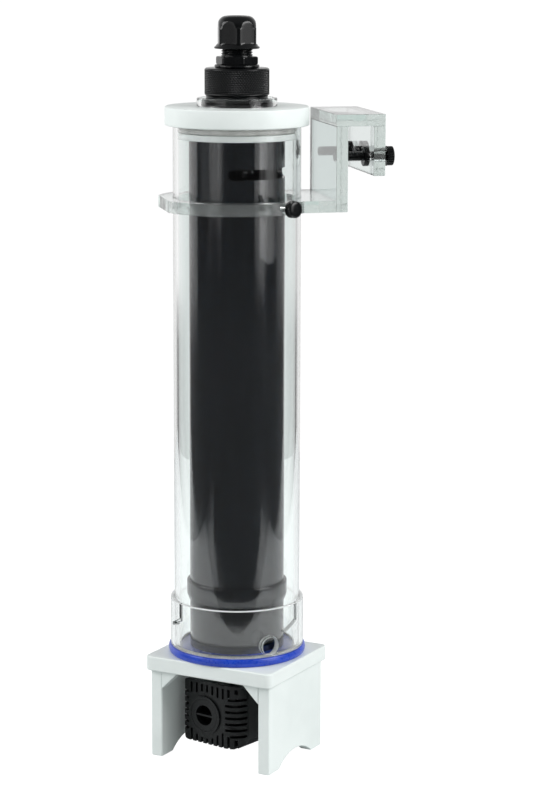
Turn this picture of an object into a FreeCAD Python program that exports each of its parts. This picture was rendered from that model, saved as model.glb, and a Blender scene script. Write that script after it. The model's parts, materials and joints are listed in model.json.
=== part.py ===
"""In-sump lamp reactor column: clear outer tube, black inner tube, white lid with a
lamp gland, clear hang-on bracket, twist-lock base and a pump under a footed stand.

Units are millimetres.  +Z is up, the tube axis is the Z axis and the feet stand on z = 0.
The stand's open front faces -Y, its two side panels face +X and -X.
"""
import FreeCAD, Part
import math
import os
from FreeCAD import Vector

# ---------------------------------------------------------------- driving dimensions
# tubes
OUTER_R, OUTER_BORE = 40.0, 37.0
INNER_R, INNER_BORE = 30.0, 27.0
RUNNING_GAP = 0.08
LAYER_GAP, HALF_LAYER = 0.1, 0.05

# stand
PLATE_WIDTH, PLATE_DEPTH, PLATE_THICK = 91.0, 79.0, 9.6
PLATE_TOP = 67.0
PLATE_CORNER_R, PLATE_CHAMFER = 4.0, 0.6
STAND_X, STAND_Y = 1.0, -2.0
LEG_THICK, LEG_ROUND = 8.0, 1.0
LEG_INSET_X, LEG_INSET_Y = 2.5, 3.8
ARCH_HALF_CHORD, ARCH_HEIGHT = 22.0, 7.8
GUSSET = 12.0
GUSSET_THICK = 8.0

# base
GASKET_R, GASKET_BORE, GASKET_THICK, GASKET_ROUND = 44.0, 37.0, 5.3, 1.2
SLEEVE_R, SLEEVE_HEIGHT, SLEEVE_CHAMFER = 42.5, 30.8, 0.5
PORT_R, PORT_Z, PORT_ANGLE = 5.8, 79.2, -30.5
PIN_R, PIN_TIP_R = 0.85, 41.2
SLOT_HALF_WIDTH, WAY_IN_R = 1.05, 41.5
SLOT_LOW_Z, SLOT_RISE = 87.3, 5.1
SLOT_LOW_ANGLE, SLOT_SWEEP = -15.3, 16.3
LOCK_COUNT = 3
WASHER_THICK = 0.8
PIN_SEAT_DEPTH = 2.0
PORT_TUBE_MARGIN = 0.5

# inner tube
COUPLING_R, COUPLING_LIP_R = 32.0, 30.7
COUPLING_Z0, COUPLING_Z1 = 102.3, 114.9
COUPLING_TAPER, COUPLING_ROUND = 4.0, 1.0
SPLIT_Z = 108.6
SLOT_Z, SLOT_HEIGHT = 375.3, 6.3
SLOT_START, SLOT_END = -64.8, 40.0
INNER_TOP = 402.6

# lid and neck
TUBE_TOP = 403.6
LID_R, LID_Z0, LID_THICK, LID_ROUND = 45.0, 403.9, 11.7, 0.9
PLUG_R, PLUG_Z0, PLUG_FLANGE = 36.85, 395.7, 3.9
PLUG_GROOVE_R = 34.6
LID_SEAL_SQUEEZE, LID_SEAL_ROUND, LID_SEAL_GAP = 0.05, 0.9, 0.3
NECK_R, NECK_BORE = 19.15, 12.0
NECK_FLANGE_R, NECK_FLANGE_THICK = 24.0, 4.0
NECK_WASHER_THICK, NECK_WASHER_INSET = 1.0, 0.5
SLEEVE_SEAT_R, SLEEVE_SEAT_DEPTH = 14.3, 1.4
SLEEVE_SEAL_R, SLEEVE_SEAL_CORD_R = 12.85, 1.3
THRUST_WASHER_R, THRUST_WASHER_BORE = 17.0, 12.4
NECK_RING_R, NECK_RING_BORE, NECK_RING_THICK = 25.0, 22.5, 5.0
NECK_SEAT_R, NECK_SEAT_THICK = 22.3, 4.4
NECK_THREAD_R, NECK_TOP = 18.2, 432.0

# knurled nut and cable gland
NUT_R, NUT_Z0, NUT_Z1 = 20.1, 422.1, 439.1
NUT_CAVITY_TOP, NUT_CHAMFER = 434.3, 0.8
GLAND_THREAD_R = 9.75
GLAND_WASHER_R, GLAND_WASHER_THICK = 13.9, 2.05
HEX_ACROSS_FLATS, HEX_HEIGHT, HEX_TURN = 23.4, 4.85, 17.15
HEX_CORNER_R, HEX_FACE_R, HEX_CHAMFER = 13.3, 12.1, 0.9
GLAND_BORE, GLAND_THREAD_TOP, GLAND_FOOT_GAP = 7.0, 455.0, 0.3
GLAND_SEAL_DEPTH, GLAND_SEAL_TOP = 8.0, 461.0
CLAW_FLANGE_R, CLAW_FLANGE_THICK = 9.2, 1.8
CLAW_R, CLAW_TOP = 8.6, 462.0
CLAW_CUTS, CLAW_CUT_WIDTH = 4, 1.0
DOME_Z0, DOME_Z1 = 450.9, 470.9
DOME_SKIRT_R, DOME_SKIRT_Z = 14.2, 452.0
DOME_BODY_R, DOME_BODY_Z0, DOME_BODY_Z1 = 12.2, 453.6, 464.3
DOME_SHOULDER_R, DOME_SHOULDER_Z = 10.8, 465.7
DOME_CROWN_R, DOME_CROWN_Z, DOME_TOP_R = 9.6, 469.0, 7.2
DOME_MOUTH_R, DOME_MOUTH_Z, DOME_BORE_TOP = 6.0, 467.0, 464.0
CABLE_R = 4.5

# lamp
QUARTZ_R, QUARTZ_WALL = 11.5, 1.2
QUARTZ_Z0, QUARTZ_Z1 = 112.0, 433.0
QUARTZ_END_INSET = 2.0
LAMP_R, LAMP_WALL = 7.5, 0.9
LAMP_Z0, LAMP_Z1 = 128.0, 400.0
CAP_R, CAP_HEIGHT, CAP_ROUND = 8.2, 9.0, 0.8
LAMP_PIN_R, LAMP_PIN_LENGTH, LAMP_PIN_SPREAD = 1.1, 6.0, 3.5
SOCKET_R, SOCKET_HEIGHT = 8.8, 19.0
SPACER_ZS, SPACER_HEIGHT = (160.0, 360.0), 4.0

# hang-on bracket, in its own axes: x away from the tube, y across
BRACKET_ANGLE = 40.6
SHEET = 7.3
BRACKET_HALF_WIDTH = 36.0
BACK_PLATE_X, GLASS_GAP = 55.0, 16.3
BRACKET_TOP = 412.0
BACK_PLATE_Z0, FRONT_PLATE_Z0 = 352.0, 374.0
COLLAR_R, COLLAR_FLAT_X = 50.0, -46.5
COLLAR_BORE = 40.25
CLAMP_Z, CLAMP_HALF_SPACING = 385.0, 20.6
CLAMP_ROD_R, CLAMP_TIP_GAP = 3.0, 0.3
CLAMP_KNOB_R, CLAMP_KNOB_X0, CLAMP_KNOB_X1 = 6.2, 89.9, 94.9
INSERT_R, INSERT_THICK = 6.2, 3.2
COLLAR_SCREW_ANGLE = -20.65
COLLAR_ROD_R, COLLAR_TIP_GAP = 2.0, 0.35
COLLAR_KNOB_R, COLLAR_KNOB_X0, COLLAR_KNOB_X1 = 5.3, 51.0, 56.2
KNOB_CHAMFER, KNOB_CROWN = 0.7, 1.1

# pump, in its own axes: y along the rotor, -y is the intake side
PUMP_ANGLE = -10.0
ROTOR_X, ROTOR_Z = -6.0, 27.5
CAGE_X0, CAGE_X1, CAGE_Y0, CAGE_Y1 = -24.5, 21.0, -25.0, 9.0
CAGE_Z0, CAGE_Z1, CAGE_WALL = 8.5, 49.8, 2.0
CAGE_EDGE_R, CAGE_LEFT_R, CAGE_RIGHT_R = 5.0, 3.0, 11.5
CAGE_SLOT_WIDTH = 1.7
COLUMN_X0, COLUMN_PITCH, COLUMN_COUNT = -17.2, 4.3, 9
ROW_Z0, ROW_PITCH, ROW_COUNT = 16.5, 4.05, 7
RING_CLEARANCE_R, COLUMN_ABOVE, COLUMN_BELOW = 15.5, 13.3, 9.3
NOTCH_HALF_WIDTH, NOTCH_Y0 = 9.2, -9.4
INTAKE_BOSS_R, INTAKE_BOSS_RISE = 12.6, 1.2
DIAL_SEAT_R, DIAL_SEAT_DEPTH, INTAKE_R = 10.6, 1.4, 9.0
DIAL_R, DIAL_THICK, DIAL_NECK_R, DIAL_LIP_R = 10.45, 1.2, 8.9, 9.8
DIAL_DEPTH, DIAL_LIP_THICK, DIAL_HOLE_R = 4.2, 0.8, 6.6
BAR_HALF_THICK, BAR_Y0, BAR_Y1 = 0.6, 0.3, 3.0
VOLUTE_R, VOLUTE_Y0, VOLUTE_Y1 = 12.6, -4.5, 7.0
CHAMBER_R, CHAMBER_Y1 = 10.6, 4.5
BOSS_R, BOSS_TOP_GAP, BOSS_SHOULDER_GAP, PIPE_SOCKET_DEPTH = 8.4, 0.8, 0.4, 7.0
COVER_THICK, COVER_BORE = 2.4, 6.0
HUB_R, SPOKE_COUNT, SPOKE_HALF_WIDTH, SPOKE_INSET = 3.4, 3, 0.7, 0.4
IMPELLER_R, IMPELLER_HUB_R, VANE_COUNT, VANE_HALF_THICK = 9.3, 3.6, 6, 0.6
VANE_Y0, WHEEL_Y, WHEEL_THICK, WHEEL_HUB_Y1 = -3.6, 2.6, 1.2, 5.4
MAGNET_R, MAGNET_Y1, MAGNET_GAP = 6.0, 28.5, 0.7
SHAFT_R, SHAFT_GAP = 1.0, 0.06
WELL_END, BUSH_END, MOTOR_BACK = 29.0, 31.1, 33.0
FRONT_BUSH_R, REAR_BUSH_R = 2.1, 3.0
MOTOR_X0, MOTOR_X1, MOTOR_Z0, MOTOR_Z1 = -20.0, 18.0, 10.0, 48.5
MOTOR_ROUND, MOTOR_GAP = 4.0, 0.5
SEAL_R, SEAL_BORE, SEAL_GROOVE_DEPTH = 10.9, 9.1, 1.2
INLET_X, INLET_Z, INLET_BOSS_R, INLET_BOSS_RISE = 8.0, 40.0, 4.6, 2.5
GROMMET_R, GROMMET_BORE, GROMMET_DEPTH, GROMMET_RISE = 3.2, 2.2, 5.0, 3.4
PIPE_R, PIPE_BORE, PIPE_TOP = 6.5, 4.6, 76.0
PIPE_STEP, PIPE_FIT = 0.3, 0.02

UP = Vector(0, 0, 1)
LEG_HEIGHT = PLATE_TOP - PLATE_THICK
GASKET_TOP = PLATE_TOP + GASKET_THICK
SLEEVE_Z0 = GASKET_TOP + LAYER_GAP
SLEEVE_TOP = SLEEVE_Z0 + SLEEVE_HEIGHT
TUBE_BOTTOM = SLEEVE_Z0 + WASHER_THICK + LAYER_GAP
LID_TOP = LID_Z0 + LID_THICK


# ---------------------------------------------------------------- helpers
def disc(radius, z0, z1, x=0.0, y=0.0):
    return Part.makeCylinder(radius, z1 - z0, Vector(x, y, z0))


def ring(outer, inner, z0, z1):
    return disc(outer, z0, z1).cut(disc(inner, z0 - 1, z1 + 1))


def block(x0, x1, y0, y1, z0, z1):
    return Part.makeBox(x1 - x0, y1 - y0, z1 - z0, Vector(x0, y0, z0))


def rod_y(radius, y0, y1, x=0.0, z=0.0):
    return Part.makeCylinder(radius, y1 - y0, Vector(x, y0, z), Vector(0, 1, 0))


def rod_x(radius, x0, x1, y=0.0, z=0.0):
    return Part.makeCylinder(radius, x1 - x0, Vector(x0, y, z), Vector(1, 0, 0))


def lathe(profile):
    """Turn a closed outline of (radius, z) points about the Z axis."""
    points = [Vector(r, 0, z) for r, z in profile]
    wire = Part.makePolygon(points + [points[0]])
    return Part.Face(wire).revolve(Vector(0, 0, 0), UP, 360)


def prism_x(outline, x0, x1):
    """Extrude a closed outline of (y, z) points along X."""
    points = [Vector(x0, y, z) for y, z in outline]
    wire = Part.makePolygon(points + [points[0]])
    return Part.Face(wire).extrude(Vector(x1 - x0, 0, 0))


def hex_prism(across_flats, turn, z0, z1):
    """Hexagonal prism with one corner at the given angle from X."""
    corner_r = across_flats / math.sqrt(3)
    angles = [math.radians(turn + 60 * i) for i in range(6)]
    corners = [Vector(corner_r * math.cos(a), corner_r * math.sin(a), z0) for a in angles]
    wire = Part.makePolygon(corners + [corners[0]])
    return Part.Face(wire).extrude(Vector(0, 0, z1 - z0))


def prism_y(outline, y0, y1):
    """Extrude a closed outline of (x, z) points along Y."""
    points = [Vector(x, y0, z) for x, z in outline]
    wire = Part.makePolygon(points + [points[0]])
    return Part.Face(wire).extrude(Vector(0, y1 - y0, 0))


def upright_edges(shape):
    def upright(edge):
        a, b = (v.Point for v in edge.Vertexes)
        return abs(a.x - b.x) < 1e-6 and abs(a.y - b.y) < 1e-6

    return [e for e in shape.Edges if len(e.Vertexes) == 2 and upright(e)]


def circles(shape, radius, z=None):
    found = []
    for edge in shape.Edges:
        curve = edge.Curve
        if isinstance(curve, Part.Circle) and abs(curve.Radius - radius) < 1e-4:
            if z is None or abs(curve.Center.z - z) < 1e-4:
                found.append(edge)
    return found


def turned(shape, degrees, about=UP):
    moved = shape.copy()
    moved.rotate(Vector(0, 0, 0), about, degrees)
    return moved


def save(name, *solids, turn=0.0):
    solids = [turned(s, turn) if turn else s for s in solids]
    shape = solids[0] if len(solids) == 1 else Part.makeCompound(solids)
    shape.exportStep(f"parts/{name}.step")


# ---------------------------------------------------------------- stand
def stand():
    x0, x1 = STAND_X - PLATE_WIDTH / 2, STAND_X + PLATE_WIDTH / 2
    y0, y1 = STAND_Y - PLATE_DEPTH / 2, STAND_Y + PLATE_DEPTH / 2
    plate = block(x0, x1, y0, y1, LEG_HEIGHT, PLATE_TOP)
    plate = plate.makeFillet(PLATE_CORNER_R, upright_edges(plate))
    rims = [e for e in plate.Edges if e.BoundBox.ZLength < 1e-6]
    plate = plate.makeChamfer(PLATE_CHAMFER, rims)
    plate = plate.cut(disc(PIPE_R + LAYER_GAP, LEG_HEIGHT - 1, PLATE_TOP + 1))
    save("stand_top_plate", plate)

    fy0, fy1 = y0 + LEG_INSET_Y, y1 - LEG_INSET_Y
    arch_r = (ARCH_HALF_CHORD**2 + ARCH_HEIGHT**2) / (2 * ARCH_HEIGHT)
    arch_z = ARCH_HEIGHT - arch_r
    inner_left = x0 + LEG_INSET_X + LEG_THICK
    inner_right = x1 - LEG_INSET_X - LEG_THICK
    for name, lx0 in (("left", inner_left - LEG_THICK), ("right", inner_right)):
        leg = block(lx0, lx0 + LEG_THICK, fy0, fy1, 0, LEG_HEIGHT)
        leg = leg.makeFillet(LEG_ROUND, upright_edges(leg))
        leg = leg.cut(rod_x(arch_r, lx0 - 1, lx0 + LEG_THICK + 1, STAND_Y, arch_z))
        save(f"stand_side_{name}", leg)

    gussets = []
    for inner, side in ((inner_left, 1), (inner_right, -1)):
        outline = [
            (inner, LEG_HEIGHT),
            (inner + side * GUSSET, LEG_HEIGHT),
            (inner, LEG_HEIGHT - GUSSET),
        ]
        for gy0 in (fy0, fy1 - GUSSET_THICK):
            gussets.append(prism_y(outline, gy0, gy0 + GUSSET_THICK))
    save("stand_gussets", *gussets)


# ---------------------------------------------------------------- base
def lock_slot():
    """Cutter for one slanted lock slot and the blind groove that leads down to it, at angle 0."""
    mid_r = (OUTER_R + SLEEVE_R) / 2
    half = mid_r * math.sin(math.radians(SLOT_SWEEP / 2))
    low, high = SLOT_LOW_Z, SLOT_LOW_Z + SLOT_RISE
    r0, r1 = OUTER_R - 1, SLEEVE_R + 1
    slope = math.atan2(SLOT_RISE, 2 * half)
    dy, dz = -SLOT_HALF_WIDTH * math.sin(slope), SLOT_HALF_WIDTH * math.cos(slope)
    band = [
        (-half + dy, low + dz),
        (-half - dy, low - dz),
        (half - dy, high - dz),
        (half + dy, high + dz),
    ]
    cutter = prism_x(band, r0, r1)
    cutter = cutter.fuse(rod_x(SLOT_HALF_WIDTH, r0, r1, -half, low))
    cutter = cutter.fuse(rod_x(SLOT_HALF_WIDTH, r0, r1, half, high))
    near, far = half - SLOT_HALF_WIDTH, half + SLOT_HALF_WIDTH
    return cutter.fuse(block(r0, WAY_IN_R, near, far, high, SLEEVE_TOP + 1))


def lock_angles():
    return [SLOT_LOW_ANGLE + i * 360.0 / LOCK_COUNT for i in range(LOCK_COUNT)]


def base():
    gasket = ring(GASKET_R, GASKET_BORE, PLATE_TOP, GASKET_TOP)
    gasket = gasket.makeFillet(GASKET_ROUND, circles(gasket, GASKET_R))
    save("base_gasket", gasket)

    floor = disc(GASKET_BORE - LAYER_GAP, PLATE_TOP, GASKET_TOP)
    save("base_disc", floor.cut(disc(PIPE_R + LAYER_GAP, PLATE_TOP - 1, GASKET_TOP + 1)))

    sleeve = ring(SLEEVE_R, OUTER_R + RUNNING_GAP, SLEEVE_Z0, SLEEVE_TOP)
    sleeve = sleeve.makeChamfer(SLEEVE_CHAMFER, circles(sleeve, SLEEVE_R, SLEEVE_TOP))
    sleeve = sleeve.cut(port_hole(PORT_R))
    for angle in lock_angles():
        sleeve = sleeve.cut(turned(lock_slot(), angle + SLOT_SWEEP / 2))
    save("base_socket_sleeve", sleeve)

    outer, bore = OUTER_R - LAYER_GAP, OUTER_BORE + LAYER_GAP
    save("tube_slip_washer", ring(outer, bore, SLEEVE_Z0, SLEEVE_Z0 + WASHER_THICK))


def port_hole(radius):
    hole = rod_x(radius, OUTER_BORE - 1, SLEEVE_R + 1, 0, PORT_Z)
    return turned(hole, PORT_ANGLE)


def column():
    pin_seat = OUTER_R - PIN_SEAT_DEPTH
    tube = ring(OUTER_R, OUTER_BORE, TUBE_BOTTOM, TUBE_TOP)
    tube = tube.cut(port_hole(PORT_R + PORT_TUBE_MARGIN))
    pins = []
    for angle in lock_angles():
        tube = tube.cut(turned(rod_x(PIN_R, pin_seat, OUTER_R + 1, 0, SLOT_LOW_Z), angle))
        pins.append(turned(rod_x(PIN_R, pin_seat, PIN_TIP_R, 0, SLOT_LOW_Z), angle))
    save("outer_tube", tube)
    save("bayonet_pins", *pins)

    save("inner_tube_stub", ring(INNER_R, INNER_BORE, GASKET_TOP, SPLIT_Z))
    bore = INNER_R + RUNNING_GAP
    coupling = [
        (bore, COUPLING_Z0),
        (COUPLING_LIP_R, COUPLING_Z0),
        (COUPLING_R, COUPLING_Z0 + COUPLING_TAPER),
        (COUPLING_R, COUPLING_Z1 - COUPLING_ROUND),
        (COUPLING_R - COUPLING_ROUND, COUPLING_Z1),
        (bore, COUPLING_Z1),
    ]
    save("inner_tube_coupling", lathe(coupling))

    inner = ring(INNER_R, INNER_BORE, SPLIT_Z + LAYER_GAP, INNER_TOP)
    slot_r = SLOT_HEIGHT / 2
    window = ring(INNER_R + 1, INNER_BORE - 1, SLOT_Z - slot_r, SLOT_Z + slot_r)
    corner = Vector(0, 0, SLOT_Z - slot_r)
    wedge = Part.makeCylinder(2 * INNER_R, SLOT_HEIGHT, corner, UP, SLOT_END - SLOT_START)
    window = window.common(turned(wedge, SLOT_START))
    for angle in (SLOT_START, SLOT_END):
        end = rod_x(slot_r, INNER_BORE - 1, INNER_R + 1, 0, SLOT_Z)
        window = window.fuse(turned(end, angle))
    save("inner_tube", inner.cut(window))


# ---------------------------------------------------------------- lid, neck, nut
def lid():
    bore = NECK_R + LAYER_GAP
    top = ring(LID_R, bore, LID_Z0, LID_TOP)
    top = top.makeFillet(LID_ROUND, circles(top, LID_R))
    save("lid_disc", top)

    groove_z = PLUG_Z0 + PLUG_FLANGE
    plug_bore = INNER_R + RUNNING_GAP
    plug = ring(PLUG_R, plug_bore, PLUG_Z0, groove_z)
    plug = plug.fuse(ring(PLUG_GROOVE_R, plug_bore, groove_z, LID_Z0)).removeSplitter()
    save("lid_plug", plug)

    outer, inner = OUTER_BORE - LID_SEAL_SQUEEZE, PLUG_GROOVE_R + LID_SEAL_SQUEEZE
    seal = ring(outer, inner, groove_z + LID_SEAL_GAP, LID_Z0 - LID_SEAL_GAP)
    seal = seal.makeFillet(LID_SEAL_ROUND, circles(seal, outer))
    save("lid_o_ring", seal)

    ring_z = LID_TOP + LAYER_GAP
    save("neck_ring", ring(NECK_RING_R, NECK_RING_BORE, ring_z, ring_z + NECK_RING_THICK))
    save("neck_seat", ring(NECK_SEAT_R, bore, ring_z, ring_z + NECK_SEAT_THICK))


def neck():
    flange_top = LID_Z0 - NECK_WASHER_THICK
    flange_z = flange_top - NECK_FLANGE_THICK
    thread_z = NUT_Z0 - LAYER_GAP
    body = disc(NECK_FLANGE_R, flange_z, flange_top)
    body = body.fuse(disc(NECK_R, flange_top, thread_z))
    body = body.fuse(disc(NECK_THREAD_R, thread_z, NECK_TOP)).removeSplitter()
    body = body.cut(disc(NECK_BORE, flange_z - 1, NECK_TOP + 1))
    body = body.cut(disc(SLEEVE_SEAT_R, NECK_TOP - SLEEVE_SEAT_DEPTH, NECK_TOP + 1))
    save("threaded_neck", body)
    washer_r = NECK_FLANGE_R - NECK_WASHER_INSET
    save("neck_washer", ring(washer_r, NECK_R + LAYER_GAP, flange_top, LID_Z0))

    cord_r = SLEEVE_SEAL_CORD_R
    save("sleeve_o_ring", Part.makeTorus(SLEEVE_SEAL_R, cord_r, Vector(0, 0, NECK_TOP)))

    washer_z = NECK_TOP + cord_r + LAYER_GAP
    washer_top = washer_z + WASHER_THICK
    save("nut_thrust_washer", ring(THRUST_WASHER_R, THRUST_WASHER_BORE, washer_z, washer_top))


def knurled_nut():
    nut = disc(NUT_R, NUT_Z0 + HALF_LAYER, NUT_Z1)
    nut = nut.makeChamfer(NUT_CHAMFER, circles(nut, NUT_R))
    nut = nut.cut(disc(NECK_THREAD_R + RUNNING_GAP, NUT_Z0 - 1, NUT_CAVITY_TOP))
    nut = nut.cut(disc(GLAND_THREAD_R + RUNNING_GAP, NUT_Z0, NUT_Z1 + 1))
    save("knurled_nut", nut)


def cable_gland():
    washer_z = NUT_Z1 + HALF_LAYER
    washer_top = washer_z + GLAND_WASHER_THICK
    hex_z0 = washer_top + HALF_LAYER
    hex_z1 = hex_z0 + HEX_HEIGHT
    thread_bore = GLAND_THREAD_R + RUNNING_GAP
    save("gland_washer", ring(GLAND_WASHER_R, thread_bore, washer_z, washer_top))

    hexagon = hex_prism(HEX_ACROSS_FLATS, HEX_TURN, hex_z0, hex_z1)
    rounding = [
        (0, hex_z0),
        (HEX_FACE_R, hex_z0),
        (HEX_CORNER_R, hex_z0 + HEX_CHAMFER),
        (HEX_CORNER_R, hex_z1 - HEX_CHAMFER),
        (HEX_FACE_R, hex_z1),
        (0, hex_z1),
    ]
    body = hexagon.common(lathe(rounding))
    body = body.fuse(disc(GLAND_THREAD_R, NUT_CAVITY_TOP + GLAND_FOOT_GAP, hex_z0))
    body = body.fuse(disc(GLAND_THREAD_R, hex_z1, GLAND_THREAD_TOP))
    body = body.cut(disc(GLAND_BORE, NUT_CAVITY_TOP, GLAND_THREAD_TOP + 1))
    save("gland_body", body)

    seal_z = GLAND_THREAD_TOP - GLAND_SEAL_DEPTH
    save("gland_seal", ring(GLAND_BORE - RUNNING_GAP, CABLE_R, seal_z, GLAND_SEAL_TOP))

    claw_z = GLAND_THREAD_TOP + LAYER_GAP
    claw_flange_top = claw_z + CLAW_FLANGE_THICK
    claw_bore = GLAND_BORE + HALF_LAYER
    claw = ring(CLAW_FLANGE_R, claw_bore, claw_z, claw_flange_top)
    claw = claw.fuse(ring(CLAW_R, claw_bore, claw_flange_top, CLAW_TOP)).removeSplitter()
    half = CLAW_CUT_WIDTH / 2
    for i in range(CLAW_CUTS):
        slit = block(-CLAW_FLANGE_R, CLAW_FLANGE_R, -half, half, claw_flange_top + half, CLAW_TOP + 1)
        claw = claw.cut(turned(slit, 180.0 * i / CLAW_CUTS))
    save("gland_claw", claw)

    corners = [
        (DOME_MOUTH_R, DOME_Z1),
        (DOME_TOP_R, DOME_Z1),
        (DOME_SHOULDER_R, DOME_SHOULDER_Z),
        (DOME_BODY_R, DOME_BODY_Z1),
        (DOME_BODY_R, DOME_BODY_Z0),
        (DOME_SKIRT_R, DOME_SKIRT_Z),
        (DOME_SKIRT_R, DOME_Z0),
        (thread_bore, DOME_Z0),
        (thread_bore, DOME_BORE_TOP),
        (DOME_MOUTH_R, DOME_MOUTH_Z),
    ]
    points = [Vector(r, 0, z) for r, z in corners]
    crown = Part.Arc(points[1], Vector(DOME_CROWN_R, 0, DOME_CROWN_Z), points[2]).toShape()
    lines = [Part.makeLine(a, b) for a, b in zip(points, points[1:] + points[:1])]
    wire = Part.Wire([lines[0], crown] + lines[2:])
    save("gland_dome_nut", Part.Face(wire).revolve(Vector(0, 0, 0), UP, 360))


# ---------------------------------------------------------------- lamp
def lamp():
    bore = QUARTZ_R - QUARTZ_WALL
    inside_z = QUARTZ_Z0 + QUARTZ_WALL
    outside = disc(QUARTZ_R, QUARTZ_Z0, QUARTZ_Z1)
    outside = outside.makeFillet(QUARTZ_R - QUARTZ_END_INSET, circles(outside, QUARTZ_R, QUARTZ_Z0))
    inside = disc(bore, inside_z, QUARTZ_Z1 + 1)
    inside = inside.makeFillet(bore - QUARTZ_END_INSET, circles(inside, bore, inside_z))
    save("quartz_sleeve", outside.cut(inside))

    save("lamp_envelope", ring(LAMP_R, LAMP_R - LAMP_WALL, LAMP_Z0, LAMP_Z1))
    pin_z = LAMP_Z1 + CAP_HEIGHT
    caps = [disc(CAP_R, LAMP_Z0 - CAP_HEIGHT, LAMP_Z0), disc(CAP_R, LAMP_Z1, pin_z)]
    save("lamp_end_caps", *[c.makeFillet(CAP_ROUND, circles(c, CAP_R)) for c in caps])
    angles = [math.radians(a) for a in (45, 135, 225, 315)]
    spots = [(LAMP_PIN_SPREAD * math.cos(a), LAMP_PIN_SPREAD * math.sin(a)) for a in angles]
    pins = [disc(LAMP_PIN_R, pin_z, pin_z + LAMP_PIN_LENGTH, x, y) for x, y in spots]
    save("lamp_pins", *pins)

    socket = disc(SOCKET_R, pin_z + LAYER_GAP, pin_z + SOCKET_HEIGHT)
    hole_r, hole_top = LAMP_PIN_R + LAYER_GAP, pin_z + LAMP_PIN_LENGTH + LAYER_GAP
    for x, y in spots:
        socket = socket.cut(disc(hole_r, pin_z, hole_top, x, y))
    save("lamp_socket", socket)

    outer, inner = bore - LAYER_GAP, LAMP_R + LAYER_GAP
    save("lamp_spacers", *[ring(outer, inner, z, z + SPACER_HEIGHT) for z in SPACER_ZS])


# ---------------------------------------------------------------- hang-on bracket
def bracket():
    half, turn = BRACKET_HALF_WIDTH, BRACKET_ANGLE
    gap_x0 = BACK_PLATE_X + SHEET
    gap_x1 = gap_x0 + GLASS_GAP
    far_x = gap_x1 + SHEET
    under_top = BRACKET_TOP - SHEET

    z0, z1 = BACK_PLATE_Z0, BACK_PLATE_Z0 + SHEET
    collar_mid = (z0 + z1) / 2
    collar = disc(COLLAR_R, z0, z1)
    collar = collar.fuse(block(0, BACK_PLATE_X, -half, half, z0, z1)).removeSplitter()
    collar = collar.cut(block(-COLLAR_R - 1, COLLAR_FLAT_X, -COLLAR_R, COLLAR_R, z0 - 1, z1 + 1))
    collar = collar.cut(disc(COLLAR_BORE, z0 - 1, z1 + 1))
    hole = rod_x(COLLAR_ROD_R + RUNNING_GAP, COLLAR_BORE - 1, COLLAR_R + 1, 0, collar_mid)
    collar = collar.cut(turned(hole, COLLAR_SCREW_ANGLE - BRACKET_ANGLE))
    save("collar_plate", collar, turn=turn)

    inner = block(BACK_PLATE_X, gap_x0, -half, half, BACK_PLATE_Z0, under_top)
    save("bracket_inner_plate", inner, turn=turn)
    top = block(BACK_PLATE_X, far_x, -half, half, under_top, BRACKET_TOP)
    save("bracket_top_plate", top, turn=turn)

    outer = block(gap_x1, far_x, -half, half, FRONT_PLATE_Z0, under_top)
    hole_r = CLAMP_ROD_R + RUNNING_GAP
    inserts = []
    for y in (-CLAMP_HALF_SPACING, CLAMP_HALF_SPACING):
        hole = rod_x(hole_r, gap_x0, far_x + 1, y, CLAMP_Z)
        outer = outer.cut(hole)
        inserts.append(rod_x(INSERT_R, gap_x1 - INSERT_THICK, gap_x1, y, CLAMP_Z).cut(hole))
    save("bracket_outer_plate", outer, turn=turn)
    save("clamp_inserts", *inserts, turn=turn)

    x0, x1 = CLAMP_KNOB_X0, CLAMP_KNOB_X1
    for name, y in (("front", -CLAMP_HALF_SPACING), ("back", CLAMP_HALF_SPACING)):
        rod = rod_x(CLAMP_ROD_R, gap_x0 + CLAMP_TIP_GAP, x1 - KNOB_CROWN - LAYER_GAP, y, CLAMP_Z)
        save(f"clamp_rod_{name}", rod, turn=turn)
        head = knob(CLAMP_KNOB_R, CLAMP_ROD_R, x0, x1, y, CLAMP_Z)
        save(f"clamp_knob_{name}", head, turn=turn)

    x0, x1 = COLLAR_KNOB_X0, COLLAR_KNOB_X1
    tip, end = OUTER_R + COLLAR_TIP_GAP, x1 - KNOB_CROWN - LAYER_GAP
    save("collar_screw_rod", rod_x(COLLAR_ROD_R, tip, end, 0, collar_mid), turn=COLLAR_SCREW_ANGLE)
    head = knob(COLLAR_KNOB_R, COLLAR_ROD_R, x0, x1, 0, collar_mid)
    save("collar_screw_knob", head, turn=COLLAR_SCREW_ANGLE)


def knob(radius, rod_radius, x0, x1, y, z):
    """Thumbscrew head with a blind bore for its rod."""
    head = rod_x(radius, x0, x1, y, z)
    head = head.makeChamfer(KNOB_CHAMFER, circles(head, radius))
    return head.cut(rod_x(rod_radius + RUNNING_GAP, x0 - 1, x1 - KNOB_CROWN, y, z))


# ---------------------------------------------------------------- pump
def rotor_rod(radius, y0, y1):
    return rod_y(radius, y0, y1, ROTOR_X, ROTOR_Z)


def rounded_case(inset, y1):
    """The strainer's outline drawn in by inset: edges along Y and the front corners are round."""
    x0, x1 = CAGE_X0 + inset, CAGE_X1 - inset
    y0 = CAGE_Y0 + inset
    case = block(x0, x1, y0, y1, CAGE_Z0 + inset, CAGE_Z1 - inset)
    long_edges = [e for e in case.Edges if e.BoundBox.YLength > y1 - y0 - LAYER_GAP]
    tunnel = case.makeFillet(CAGE_EDGE_R - inset, long_edges)
    for edge_x, radius in ((x0, CAGE_LEFT_R), (x1, CAGE_RIGHT_R)):
        front = [e for e in upright_edges(case) if e.BoundBox.YMax < y0 + LAYER_GAP]
        corner = [e for e in front if abs(e.BoundBox.XMin - edge_x) < LAYER_GAP]
        case = case.makeFillet(radius - inset, corner)
    return tunnel.common(case)


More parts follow.
